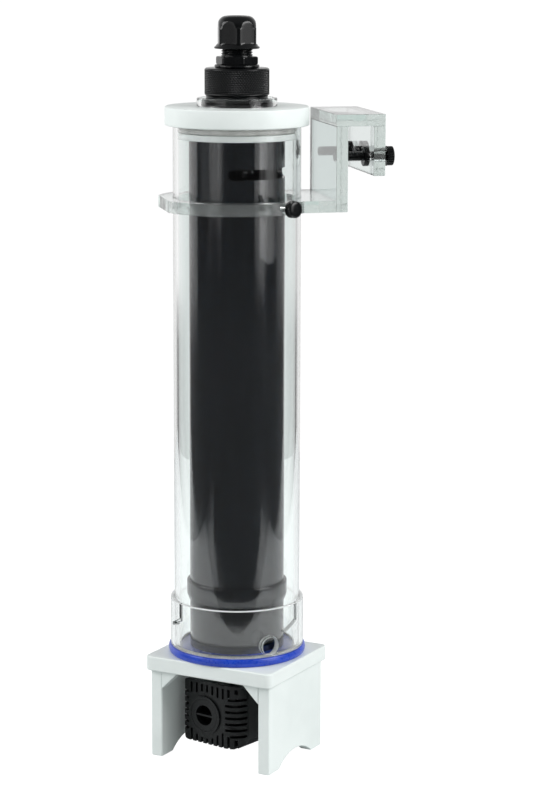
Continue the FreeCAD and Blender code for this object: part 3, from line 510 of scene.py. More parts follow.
def radial_normals(piece, round_radii):
    """Gives faces that lie on one of these upright cylinders their exact round normals."""
    tolerance = 0.02 * MM
    mesh = piece.data
    normals = []
    for face in mesh.polygons:
        corners = [mesh.vertices[i].co for i in face.vertices]
        away = [math.hypot(c.x, c.y) for c in corners]
        on = [r for r in round_radii if all(abs(a - r) < tolerance for a in away)]
        side = 1 if face.normal.dot(Vector((face.center.x, face.center.y, 0))) > 0 else -1
        for i, corner in zip(face.loop_indices, corners):
            if on and abs(face.normal.z) < 0.1:
                normals.append(Vector((corner.x, corner.y, 0)).normalized() * side)
            else:
                normals.append(Vector(mesh.corner_normals[i].vector))
    mesh.normals_split_custom_set(normals)


def prism_mesh(outline, out0, out1, matrix):
    """Closed prism of an (across, up) outline, from out0 to out1 along local X."""
    bm = bmesh.new()
    near = [bm.verts.new(matrix @ Vector((out0, y, z))) for y, z in outline]
    far = [bm.verts.new(matrix @ Vector((out1, y, z))) for y, z in outline]
    bm.faces.new(near)
    bm.faces.new(far[::-1])
    band(bm, near, far)
    return mesh_from(bm, outward=True)


# ---- surface patterns
def thread(major, pitch, depth, z0, z1):
    """Radius of a screw thread that fades out at both ends; other radii pass through."""
    def shape(angle, r, z):
        if abs(r - major) > 1e-6 or not z0 <= z <= z1:
            return r
        fade = min(1.0, (z - z0) / pitch, (z1 - z) / pitch)
        from_middle = abs(((z / pitch - angle / TAU) % 1.0) * 2 - 1)
        groove = min(1.0, max(0.0, 1.35 - 1.7 * from_middle))     # flat floor, sloping sides, flat crest
        return r - depth * groove * fade
    return shape


def diamond(major, around, depth, z0, z1, margin):
    """Radius of a diamond knurl between z0 and z1."""
    pitch = TAU * major / around

    def ridge(u):
        return abs((u % 1.0) * 2 - 1)

    def shape(angle, r, z):
        if abs(r - major) > 1e-6 or not z0 <= z <= z1:
            return r
        fade = min(1.0, max(0.0, min(z - z0, z1 - z) / margin))
        u = angle / TAU * around
        v = z / pitch * 0.8
        groove = max(ridge(u + v), ridge(u - v)) ** 3
        return r - depth * groove * fade
    return shape


# ---- clear tube, sleeve and black tube
PIN_ANGLES = [math.radians(-15.3) + TAU * k / 3 for k in range(3)]
PIN_Z = 87.3 * MM
PIN_R = 0.85 * MM
LOCK_SWEEP, LOCK_RISE = math.radians(16.3), 5.1 * MM


def port_axis():
    mount = next(m for m in frame["record"]["mounts"] if m["name"] == "outlet_port")
    return Vector(mount["axis"]), Vector((0, 0, mount["pos_m"][2]))


def port_cutter(radius):
    """Cylinder along the outlet port, from the black tube out past the sleeve."""
    near, far = BLACK_R, SLEEVE_R + 5.5 * MM
    bm = bmesh.new()
    spun(bm, [(0, near), (radius, near), (radius, far), (0, far)], 64, matrix=frame_along(*port_axis()))
    return mesh_from(bm, outward=True)


def outer_tube():
    piece = ring("clear_outer_tube", "outer_tube", TUBE_R, TUBE_BORE, 0.3 * MM, 288)
    cut_away(piece, [port_cutter(PORT_R_IN_TUBE)])
    radial_normals(piece, (TUBE_R, TUBE_BORE))
    dulled(piece, PORT_R_IN_TUBE)


def lock_pins():
    root, tip = 38.2 * MM, outer_radius("bayonet_pins")
    outline = rounded([(0, root), (PIN_R, root), (PIN_R, tip), (0, tip)], [0, 0, 0.3 * MM, 0])
    matrices = [frame_along((math.cos(a), math.sin(a), 0), (0, 0, PIN_Z)) for a in PIN_ANGLES]
    lathe("lock_pins", "bayonet_pins", outline, segments=40, matrices=matrices)


def finish_faces(piece, material, wanted):
    """Gives the faces that a test picks a material of their own."""
    index = len(piece.data.materials)
    piece.data.materials.append(MATERIALS[material])
    for face in piece.data.polygons:
        if wanted(face):
            face.material_index = index


def dulled(piece, port_radius):
    """Gives a tube's outlet port and its end faces the dull finish that a cutter leaves."""
    axis, centre = port_axis()

    def cut(face):
        away = face.center - centre
        away -= away.dot(axis) * axis
        drilled = abs(away.length - port_radius) < 0.1 * MM and abs(face.normal.dot(axis)) < 0.3
        return drilled or abs(face.normal.z) > 0.3

    finish_faces(piece, "drilled_acrylic", cut)


def sawn_edges(piece, normal):
    """Gives a sheet's edges the finish of a saw cut; the sheet's own faces stay polished."""
    finish_faces(piece, "sawn_acrylic", lambda face: abs(face.normal.dot(normal)) < 0.5)


def slot_outline(half, low, rise, width):
    """Round-ended slot that climbs from (-half, low) to (half, low + rise)."""
    slope = math.atan2(rise, 2 * half)
    outline = []
    for across, up, turn in ((-half, low, slope + math.pi / 2), (half, low + rise, slope - math.pi / 2)):
        for k in range(9):
            a = turn + math.pi * k / 8
            outline.append((across + width * math.cos(a), up + width * math.sin(a)))
    return outline


def socket_sleeve():
    z0, z1 = heights("base_socket_sleeve")
    corners = [(SLEEVE_BORE, z0), (SLEEVE_R, z0), (SLEEVE_R, z1), (SLEEVE_BORE, z1)]
    outline = rounded(corners, [0.1 * MM, 0.25 * MM, 0.5 * MM, 0.25 * MM], 4)
    piece = lathe("clear_socket_sleeve", "base_socket_sleeve", outline, segments=288)
    inside, groove_floor, outside = 38.5 * MM, 41.5 * MM, 44 * MM
    width = 1.05 * MM
    half = 41.25 * MM * math.sin(LOCK_SWEEP / 2)
    slot = slot_outline(half, PIN_Z, LOCK_RISE, width)
    bottom, top = PIN_Z + LOCK_RISE, z1 + 2 * MM
    groove = [(half - width, bottom), (half + width, bottom), (half + width, top), (half - width, top)]
    cutters = [port_cutter(PORT_R_IN_SLEEVE)]
    for angle in PIN_ANGLES:
        turn = Matrix.Rotation(angle + LOCK_SWEEP / 2, 4, "Z")
        cutters.append(prism_mesh(slot, inside, outside, turn))
        cutters.append(prism_mesh(groove, inside, groove_floor, turn))
    cut_away(piece, cutters)
    radial_normals(piece, (SLEEVE_R, SLEEVE_BORE))
    dulled(piece, PORT_R_IN_SLEEVE)

    def milled(face):
        across = Vector((face.center.x, face.center.y, 0)).normalized()
        in_slots = PIN_Z - 3 * MM < face.center.z < z1 - 1 * MM
        return in_slots and abs(face.normal.dot(across)) < 0.9

    finish_faces(piece, "drilled_acrylic", milled)


def overflow_window():
    """Cutter for the level round-ended slot that runs part of the way round the black tube."""
    slot_z, slot_r = 375.3 * MM, 3.15 * MM
    start, end = math.radians(-64.8), math.radians(40)
    inside, middle, outside = 25 * MM, (BLACK_R + BLACK_BORE) / 2, 32 * MM
    columns = [(angle, slot_r) for angle in stepped(start, end, 60)]
    for sign, angle in ((-1, start), (1, end)):
        for a in quarter(8, 1):
            half = max(slot_r * math.cos(a), 0.02 * MM)
            columns.append((angle + sign * slot_r * math.sin(a) / middle, half))
    columns.sort()
    bm = bmesh.new()
    corners = []
    for angle, half in columns:
        row = []
        for r, z in ((inside, -half), (outside, -half), (outside, half), (inside, half)):
            row.append(bm.verts.new((r * math.cos(angle), r * math.sin(angle), slot_z + z)))
        corners.append(row)
    for near, far in zip(corners, corners[1:]):
        band(bm, near, far)
    bm.faces.new(corners[0])
    bm.faces.new(corners[-1][::-1])
    return mesh_from(bm, outward=True)


def black_tubes():
    piece = ring("black_inner_tube", "inner_tube", BLACK_R, BLACK_BORE, 0.3 * MM, 256)
    cut_away(piece, [overflow_window()])
    radial_normals(piece, (BLACK_R, BLACK_BORE))
    ring("black_tube_stub", "inner_tube_stub", BLACK_R, BLACK_BORE, 0.3 * MM, 256)
    c0, c1 = heights("inner_tube_coupling")
    bore, mouth, outer = 30.05 * MM, 30.7 * MM, 32 * MM
    corners = [(bore, c0), (mouth, c0), (outer, c0 + 4 * MM), (outer, c1), (bore, c1)]
    outline = rounded(corners, [0.1 * MM, 0.5 * MM, 1.2 * MM, 1.4 * MM, 0.2 * MM], 6)
    lathe("black_tube_coupling", "inner_tube_coupling", outline, segments=256)


def base_rings():
    g0, g1 = heights("base_gasket")
    middle = (g0 + g1) / 2
    bore, shoulder, crest = 37 * MM, 43.3 * MM, 44 * MM
    corners = [(bore, g0), (shoulder, g0), (crest, middle), (shoulder, g1), (bore, g1)]
    outline = rounded(corners, [0.2 * MM, 1.1 * MM, 2.2 * MM, 1.1 * MM, 0.2 * MM], 6)
    lathe("blue_gasket_ring", "base_gasket", outline, segments=256)
    floor_r, pipe_hole_r = 36.9 * MM, 6.6 * MM
    ring("base_floor", "base_disc", floor_r, pipe_hole_r, 0.4 * MM, 192)
    washer_r, washer_bore = 39.9 * MM, 37.1 * MM
    ring("slip_washer", "tube_slip_washer", washer_r, washer_bore, 0.2 * MM, 192)


# ---- stand
def stand():
    refined("stand_deck", "stand_top_plate", 0.5 * MM, 3)
    refined("stand_leg_left", "stand_side_left", 0.6 * MM, 3)
    refined("stand_leg_right", "stand_side_right", 0.6 * MM, 3)
    refined("stand_corner_blocks", "stand_gussets", 0.4 * MM, 2)


# ---- lid and neck
def lid():
    z0, z1 = heights("lid_disc")
    disc_r = 45 * MM
    corners = [(NECK_HOLE_R, z0), (disc_r, z0), (disc_r, z1), (NECK_HOLE_R, z1)]
    outline = rounded(corners, [0.2 * MM, 1.0 * MM, 0.9 * MM, 0.4 * MM], 5)
    lathe("lid_plate", "lid_disc", outline, segments=256)

    p0, p1 = heights("lid_plug")
    bore, wide, narrow = 30.1 * MM, 36.85 * MM, 34.6 * MM
    step = p0 + 3.9 * MM
    corners = [(bore, p0), (wide, p0), (wide, step), (narrow, step), (narrow, p1), (bore, p1)]
    outline = rounded(corners, [0.4 * MM, 0.5 * MM, 0.3 * MM, 0, 0, 0.2 * MM], 3)
    lathe("lid_spigot", "lid_plug", outline, segments=224)

    o0, o1 = heights("lid_o_ring")
    inner, outer = 34.65 * MM, 36.95 * MM
    outline = oval((outer + inner) / 2, (o0 + o1) / 2, (outer - inner) / 2, (o1 - o0) / 2)
    lathe("lid_seal", "lid_o_ring", outline, segments=192)


def neck_seat():
    """Clear ring on the lid, and the black washer inside it."""
    ring_r, ring_bore, seat_r = 25 * MM, 22.5 * MM, 22.3 * MM
    ring("clear_neck_ring", "neck_ring", ring_r, ring_bore, 0.35 * MM, 192, 4)
    ring("neck_seat_washer", "neck_seat", seat_r, NECK_HOLE_R, 0.6 * MM, 160, 4)


def neck():
    n0, n1 = heights("threaded_neck")
    flange_top = heights("neck_washer")[0]
    flange_r, soft = 24 * MM, 0.4 * MM
    low_z = heights("neck_ring")[1] + 1.5 * MM
    step_z = heights("knurled_nut")[0] - 0.1 * MM
    low_end, high_end = step_z - 0.3 * MM, n1 - soft
    seat_r, seat_z = 14.3 * MM, n1 - 1.4 * MM
    outline = [(NECK_BORE, n0), (flange_r - soft, n0), (flange_r, n0 + soft)]
    outline += [(flange_r, flange_top - soft), (flange_r - soft, flange_top)]
    outline += [(NECK_THREAD_R, flange_top), (NECK_THREAD_R, low_z)]
    outline += [(NECK_THREAD_R, z) for z in stepped(low_z, low_end, 40)[1:]]
    outline += [(NECK_TOP_R, step_z)]
    outline += [(NECK_TOP_R, z) for z in stepped(step_z, high_end, 60)[1:]]
    outline += [(NECK_TOP_R - soft, n1), (seat_r, n1), (seat_r, seat_z), (NECK_BORE, seat_z)]
    low = thread(NECK_THREAD_R, NECK_PITCH, 0.7 * MM, low_z, low_end)
    high = thread(NECK_TOP_R, NECK_PITCH, 0.8 * MM, step_z, high_end)
    lathe("threaded_neck_tube", "threaded_neck", outline, segments=144,
          shape=lambda a, r, z: high(a, low(a, r, z), z), sharp=40)


def neck_seals():
    washer_r, thrust_r, thrust_bore = 23.5 * MM, 17 * MM, 12.4 * MM
    ring("neck_seal_washer", "neck_washer", washer_r, NECK_HOLE_R, 0.3 * MM, 144)
    s0, s1 = heights("sleeve_o_ring")
    cord = (s1 - s0) / 2
    outline = oval(12.85 * MM, (s0 + s1) / 2, cord, cord)
    lathe("sleeve_seal", "sleeve_o_ring", outline, segments=120)
    ring("thrust_washer", "nut_thrust_washer", thrust_r, thrust_bore, 0.2 * MM, 120)


def knurled_nut():
    z0, z1 = heights("knurled_nut")
    grip_r, bore = 20.1 * MM, 18.28 * MM
    roof = z1 - 4.8 * MM
    edge, margin = 0.8 * MM, 1.0 * MM
    outline = [(bore, z0), (19.0 * MM, z0), (19.7 * MM, z0 + 0.3 * MM)]
    outline += [(grip_r, z) for z in stepped(z0 + edge, z1 - edge, 84)]
    outline += [(19.6 * MM, z1 - 0.25 * MM), (19.2 * MM, z1), (GLAND_HOLE_R, z1)]
    outline += [(GLAND_HOLE_R, roof), (bore, roof)]
    knurl = diamond(grip_r, 72, 0.55 * MM, z0 + margin, z1 - margin, 0.5 * MM)
    lathe("knurled_cap_nut", "knurled_nut", outline, segments=576, shape=knurl, sharp=50)


# ---- cable gland
def hexed(apothem, turn, soft=0.35 * MM):
    """Limits a radius to a hexagon with softened corners."""
    def shape(angle, r, z):
        local = (angle - turn) % (TAU / 6) - TAU / 12
        flat = apothem / math.cos(local)
        if r <= flat - soft:
            return r
        if r >= flat + 3 * soft:
            return flat
        return flat - soft * math.exp(-(r - flat + soft) / soft)
    return shape


def gland_body():
    """Washer, and on it a hexagon with a thread above and below."""
    washer_r = 13.9 * MM
    ring("gland_seal_washer", "gland_washer", washer_r, GLAND_HOLE_R, 0.8 * MM, 120, 5)

    b0, b1 = heights("gland_body")
    hex0 = heights("gland_washer")[1] + 0.05 * MM
    hex1 = hex0 + 4.85 * MM
    apothem, corner_r = 11.7 * MM, 13.3 * MM
    turn = math.radians(17.15)
    lead, gap = 0.4 * MM, 0.2 * MM
    low0, low1 = b0 + lead, hex0 - gap
    high0, high1 = hex1 + 0.1 * MM, b1 - lead
    tip = GLAND_THREAD_R - 0.5 * MM
    outline = [(GLAND_BORE, b0), (tip, b0)]
    outline += [(GLAND_THREAD_R, z) for z in stepped(low0, low1, 24)]
    outline += [(12.4 * MM, hex0), (13.1 * MM, hex0 + 0.35 * MM), (corner_r, hex0 + 0.8 * MM)]
    outline += [(corner_r, z) for z in stepped(hex0 + 1.0 * MM, hex1 - 1.0 * MM, 3)]
    outline += [(corner_r, hex1 - 0.8 * MM), (13.0 * MM, hex1 - 0.3 * MM), (12.3 * MM, hex1)]
    outline += [(GLAND_THREAD_R, hex1)]
    outline += [(GLAND_THREAD_R, z) for z in stepped(high0, high1, 40)]
    outline += [(tip, b1), (GLAND_BORE, b1)]
    low = thread(GLAND_THREAD_R, GLAND_PITCH, 0.75 * MM, low0, low1)
    high = thread(GLAND_THREAD_R, GLAND_PITCH, 0.75 * MM, high0, high1)
    flats = hexed(apothem, turn)

    def shape(angle, r, z):
        if r > GLAND_THREAD_R + 0.1 * MM:
            return flats(angle, r, z)
        return low(angle, r, z) if z < hex0 else high(angle, r, z)

    lathe("gland_hex_body", "gland_body", outline, segments=288, shape=shape, sharp=40)


def gland_seal():
    s0, s1 = heights("gland_seal")
    lead_r, seal_r = 4.5 * MM, 6.92 * MM
    corners = [(lead_r, s0), (seal_r, s0), (seal_r, s1), (lead_r, s1)]
    outline = rounded(corners, [0.8 * MM, 0.2 * MM, 0.4 * MM, 1.0 * MM], 4)
    lathe("gland_rubber_seal", "gland_seal", outline, segments=96)
    refined("gland_claw_ring", "gland_claw", 0.15 * MM)


def dome_nut():
    z0, z1 = heights("gland_dome_nut")
    turn = VIEW_ANGLE + math.radians(5)
    lip, flats_r = outer_radius("gland_dome_nut"), 12.8 * MM
    flats = hexed(11.55 * MM, turn, 0.22 * MM)
    hex_z0, hex_z1 = z0 + 3.2 * MM, z1 - 7.4 * MM
    outline = [(GLAND_HOLE_R, z0), (lip - 0.5 * MM, z0), (lip - 0.1 * MM, z0 + 0.3 * MM)]
    outline += [(lip, z0 + 0.8 * MM), (lip - 0.4 * MM, z0 + 1.2 * MM)]
    outline += [(13.1 * MM, z0 + 1.7 * MM), (12.75 * MM, z0 + 2.4 * MM)]
    outline += [(flats_r, z) for z in stepped(hex_z0, hex_z1, 10)]
    mouth_r, crown_r, crown_z = 6.7 * MM, 12.35 * MM, hex_z1 + 0.4 * MM
    for a in quarter(12):
        r = mouth_r + (crown_r - mouth_r) * math.cos(a)
        outline.append((r, crown_z + (z1 - crown_z) * math.sin(a)))
    hole_r = 6.0 * MM
    outline += [(6.4 * MM, z1 - 0.15 * MM), (hole_r, z1 - 0.6 * MM)]
    outline += [(hole_r, z1 - 3.9 * MM), (GLAND_HOLE_R, z1 - 6.9 * MM)]

    def shape(angle, r, z):
        if r <= GLAND_HOLE_R + 0.1 * MM or z < hex_z0 - 0.7 * MM:
            return r
        return flats(angle, r, z)

    lathe("gland_dome_cap", "gland_dome_nut", outline, segments=240, shape=shape, sharp=50)


# ---- lamp
def quartz_sleeve():
    """Tube with one round closed end."""
    z0, z1 = heights("quartz_sleeve")
    outer, wall, bend = 11.5 * MM, 1.2 * MM, 9.5 * MM
    inner, inner_bend = outer - wall, bend - wall
    lip = 0.3 * MM
    outline = [(0, z0)]
    for a in quarter(8):
        outline.append((outer - bend + bend * math.sin(a), z0 + bend - bend * math.cos(a)))
    outline += [(outer, z1 - 0.4 * MM), (outer - lip, z1), (inner + lip, z1)]
    for a in reversed(quarter(8)):
        r = inner - inner_bend + inner_bend * math.sin(a)
        outline.append((r, z0 + wall + inner_bend - inner_bend * math.cos(a)))
    outline.append((0, z0 + wall))
    lathe("quartz_lamp_sleeve", "quartz_sleeve", outline, segments=96)


def lamp():
    glass_r, glass_bore = 7.5 * MM, 6.6 * MM
    ring("lamp_glass", "lamp_envelope", glass_r, glass_bore, 0.2 * MM, 80)

    e0, e1 = heights("lamp_envelope")
    cap_r, cap_length, cap_edge = 8.2 * MM, 9 * MM, 0.9 * MM
    outlines = []
    for low, high in ((e0 - cap_length, e0), (e1, e1 + cap_length)):
        corners = [(0, low), (cap_r, low), (cap_r, high), (0, high)]
        outlines.append(rounded(corners, [0, cap_edge, cap_edge, 0], 4))
    lathe("lamp_caps", "lamp_end_caps", *outlines, segments=72)

    p0, p1 = heights("lamp_pins")
    pin_r, pin_circle = 1.1 * MM, 3.5 * MM
    matrices = []
    for degrees in (45, 135, 225, 315):
        a = math.radians(degrees)
        matrices.append(Matrix.Translation((pin_circle * math.cos(a), pin_circle * math.sin(a), 0)))
    outline = rounded([(0, p0), (pin_r, p0), (pin_r, p1), (0, p1)], [0, 0, 0.5 * MM, 0], 4)
    lathe("lamp_contact_pins", "lamp_pins", outline, segments=24, matrices=matrices)
    refined("lamp_socket_body", "lamp_socket", 0.4 * MM)

    s0, s1 = heights("lamp_spacers")
    ring_r, ring_bore, ring_height = 10.2 * MM, 7.6 * MM, 4 * MM
    rings = [tube(ring_r, ring_bore, z, z + ring_height, 0.8 * MM, 5) for z in (s0, s1 - ring_height)]
    lathe("lamp_spacer_rings", "lamp_spacers", *rings, segments=80)


# ---- hang-on bracket
KNOB_GRIP = 0.965       # radius of a knob's grip, as a share of its flange


def bracket():
    """Glued sheets: each lies flat across its own direction, and its edges are sawn."""
    glue_gap = 0.015 * MM
    for name, node, across in (("clear_collar", "collar_plate", UP),
                               ("clear_back_plate", "bracket_inner_plate", BRACKET_OUT),
                               ("clear_top_plate", "bracket_top_plate", UP),
                               ("clear_front_plate", "bracket_outer_plate", BRACKET_OUT)):
        piece = refined(name, node, 0.3 * MM, 2)
        shrink_faces(piece, glue_gap)
        sawn_edges(piece, across)


def shrink_faces(piece, gap):
    """Draws a plate's faces in by a hair, so that glued neighbours don't share a face."""
    bm = bmesh.new()
    bm.from_mesh(piece.data)
    bm.normal_update()
    moves = {v: sum((f.normal for f in v.link_faces), Vector()).normalized() for v in bm.verts}
    for v, direction in moves.items():
        scale = max(1.0, 1.0 / max(0.5, min(abs(direction.dot(f.normal)) for f in v.link_faces)))
        v.co -= direction * gap * scale
    bm.to_mesh(piece.data)
    bm.free()


def knob_outline(x0, x1, radius, bore, blind):
    """Thumbscrew head: a thin flange, a waist and a domed knurled grip, with a blind bore."""
    flange = x0 + 0.9 * MM
    grip0, grip1 = flange + 0.35 * MM, x1 - 0.9 * MM
    grip_r = radius * KNOB_GRIP
    outline = [(0, blind), (bore, blind), (bore, x0), (radius * 0.93, x0), (radius, x0 + 0.25 * MM)]
    outline += [(radius, flange - 0.2 * MM), (radius * 0.9, flange)]
    outline += [(grip_r, z) for z in stepped(grip0, grip1, 10)]
    for a in quarter(6, 1):
        outline.append((grip_r * (0.45 + 0.55 * math.cos(a)), grip1 + (x1 - grip1) * math.sin(a)))
    outline.append((0, x1))
    return outline


def ridged(major, around, depth, z0, z1):
    """Radius of a straight knurl."""
    def shape(angle, r, z):
        if abs(r - major) > 1e-6 or not z0 <= z <= z1:
            return r
        return r - depth * (0.5 + 0.5 * math.cos(angle * around)) ** 2
    return shape


def screw(name, rod_node, knob_node, axis, origin, rod_r, knob_r, pitch):
    """Threaded rod and its knurled knob, along the axis from the origin."""
    x0, x1 = reach(rod_node, axis, origin)
    matrix = frame_along(axis, origin, UP)
    turns = (x1 - x0) / pitch
    outline = [(0, x0), (rod_r * 0.72, x0), (rod_r * 0.9, x0 + 0.3 * MM)]
    outline += [(rod_r, x) for x in stepped(x0 + 0.6 * MM, x1 - 0.1 * MM, int(turns * 6))]
    outline += [(0, x1)]
    depth = 0.30 * pitch + 0.1 * MM
    lathe(f"{name}_thread", rod_node, outline, segments=48, matrices=[matrix],
          shape=thread(rod_r, pitch, depth, x0, x1), sharp=50)
    k0, k1 = reach(knob_node, axis, origin)
    outline = knob_outline(k0, k1, knob_r, rod_r + 0.08 * MM, x1 + 0.1 * MM)
    lathe(f"{name}_head", knob_node, outline, segments=192, matrices=[matrix],
          shape=ridged(knob_r * KNOB_GRIP, 24, 0.45 * MM, k0, k1), sharp=40)


def foot_of(joint, axis):
    """Point of a joint's axis line that is level with the tube's middle, along that axis."""
    place = Vector(JOINTS[joint]["pos_m"])
    return place - place.dot(axis) * axis


def clamp_screws():
    origins = []
    for side in ("front", "back"):
        origins.append(foot_of(f"clamp_knob_{side}_turn", BRACKET_OUT))
        screw(f"clamp_{side}", f"clamp_rod_{side}", f"clamp_knob_{side}", BRACKET_OUT, origins[-1],
              CLAMP_ROD_R, CLAMP_KNOB_R, CLAMP_PITCH)
    nut_r, nut_bore = 6.2 * MM, CLAMP_ROD_R + 0.08 * MM
    outline = tube(nut_r, nut_bore, *reach("clamp_inserts", BRACKET_OUT), 0.3 * MM)
    lathe("clamp_insert_discs", "clamp_inserts", outline, segments=96,
          matrices=[frame_along(BRACKET_OUT, origin, UP) for origin in origins])


def collar_screw():
    screw("collar", "collar_screw_rod", "collar_screw_knob", COLLAR_OUT,
          foot_of("collar_knob_turn", COLLAR_OUT), COLLAR_ROD_R, COLLAR_KNOB_R, COLLAR_PITCH)


# ---- pump
def pump():
    refined("pump_cage", "pump_strainer", 0.25 * MM, join=True)
    refined("pump_dial", "pump_flow_dial", 0.2 * MM)
    refined("pump_chamber", "pump_volute", 0.3 * MM)
    refined("pump_chamber_cover", "pump_volute_cover", 0.2 * MM)
    refined("pump_motor_case", "pump_motor_block", 0.5 * MM)
    refined("pump_lead_grommet", "pump_cable_grommet", 0.3 * MM)
    refined("pump_impeller_wheel", "pump_impeller", 0.15 * MM)
    riser_r, riser_bore = 6.5 * MM, 4.6 * MM
    ring("pump_riser", "pump_outlet_pipe", riser_r, riser_bore, 0.3 * MM, 96)


def pump_rotor():
    """Magnet, shaft, bushes and O-ring, all round the impeller's axis."""
    centre = Vector(JOINTS["impeller_spin"]["pos_m"])
    matrix = frame_along(PUMP_BACK, centre, UP)
    shaft_r, magnet_r, front_bush_r, rear_bush_r = 1 * MM, 6 * MM, 2.1 * MM, 3 * MM

    m0, m1 = reach("pump_rotor_magnet", PUMP_BACK, centre)
    outline = tube(magnet_r, shaft_r + 0.06 * MM, m0, m1, 0.3 * MM)
    lathe("pump_magnet", "pump_rotor_magnet", outline, segments=72, matrices=[matrix])

    s0, s1 = reach("pump_shaft", PUMP_BACK, centre)
    corners = [(0, s0), (shaft_r, s0), (shaft_r, s1), (0, s1)]
    outline = rounded(corners, [0, 0.2 * MM, 0.2 * MM, 0], 3)
    lathe("pump_ceramic_shaft", "pump_shaft", outline, segments=40, matrices=[matrix])

    b0, b1 = reach("pump_shaft_bushes", PUMP_BACK, centre)
    front = tube(front_bush_r, shaft_r, b0, b0 + 2.2 * MM, 0.2 * MM)
    rear = tube(rear_bush_r, shaft_r, b1 - 2 * MM, b1, 0.2 * MM)
    lathe("pump_bushes", "pump_shaft_bushes", front, rear, segments=48, matrices=[matrix])

    o0, o1 = reach("pump_o_ring", PUMP_BACK, centre)
    outline = oval(10 * MM, (o0 + o1) / 2, 0.9 * MM, (o1 - o0) / 2, 16)
    lathe("pump_seal", "pump_o_ring", outline, segments=96, matrices=[matrix])


# ---- stage, light and camera
WHITE = (1, 1, 1)
STRAIGHT_TINT = (0.925, 1.0, 0.985)     # backdrop and table, looked at through glass
TABLE_GLOW, TABLE_SEEN_GLOW = 0.78, 0.22
TABLE_COLOUR = (0.16, 0.17, 0.17, 1)
TABLE_LIT, TABLE_MIRRORED = (0.42, 0.44, 0.44), (0.72, 0.745, 0.75)
BACKDROP_SEEN, BACKDROP_THROUGH, BACKDROP_TURNED = 1.02, 0.80, 0.85
FRONT_DARK, BACK_LEFT, BACK_RIGHT, BELOW, ZENITH = 0.09, 1.0, 0.55, 0.13, 0.30
AMBIENT, INSIDE_AMBIENT = 0.48, 0.95
MIDDLE_HEIGHT = 0.24


def bounces(tree, path):
    """How often a light path has been mirrored or scattered."""
    total = tree.nodes.new("ShaderNodeMath")
    total.operation = "ADD"
    tree.links.new(path["Glossy Depth"], total.inputs[0])
    tree.links.new(path["Diffuse Depth"], total.inputs[1])
    return total.outputs[0]


def floor():
    """White table. It looks bright only where it is seen straight, through glass or mirrored."""
    near, far, half = 0.352, 0.9, 0.62
    corners = [(near, -half), (near, half), (-far, half), (-far, -half)]
    bm = bmesh.new()
    bm.faces.new([bm.verts.new(TO_CAMERA * a + CAMERA_RIGHT * b) for a, b in corners])
    table = linked("table_top", mesh_from(bm, "table_top"))
    s = Shade("table_white")
    path = s.node("ShaderNodeLightPath").outputs
    bounced = bounces(s.tree, path)
    glow = s.node("ShaderNodeMath", operation="MULTIPLY_ADD")
    s.link(path["Is Camera Ray"], glow.inputs[0])
    glow.inputs[1].default_value = TABLE_SEEN_GLOW
    s.link(s.spread(bounced, TABLE_GLOW, 0.0, (0, 1)), glow.inputs[2])
    s.link(glow.outputs[0], s.shader.inputs["Emission Strength"])
    tint = s.colours(path["Is Camera Ray"], STRAIGHT_TINT, WHITE, (0.0, 1.0))
    s.link(tint, s.shader.inputs["Emission Color"])
    mirrored = s.colours(path["Glossy Depth"], TABLE_LIT, TABLE_MIRRORED, (0.0, 1.0))
    shade = s.node("ShaderNodeMix", data_type="RGBA")
    s.link(s.spread(bounced, 0.0, 1.0, (0, 1)), shade.inputs["Factor"])
    shade.inputs["A"].default_value = TABLE_COLOUR
    s.link(mirrored, shade.inputs["B"])
    table.data.materials.append(s.finish(shade.outputs["Result"], s.spread(s.noise(40), 0.55, 0.7)))


def softbox(name, angle, distance, height, size, watts):
    """Area light that stands at an angle round from the camera's side and faces the tube."""
    light = bpy.data.lights.new(name, "AREA")
    light.shape = "RECTANGLE"
    light.size, light.size_y = size
    light.energy = watts
    box = linked(name, light)
    turn = VIEW_ANGLE + math.radians(angle)
    place = Vector((distance * math.cos(turn), distance * math.sin(turn), height))
    aim = Vector((0, 0, MIDDLE_HEIGHT)) - place
    box.location = place
    box.rotation_euler = aim.to_track_quat("-Z", "Y").to_euler()
    box.visible_camera = False


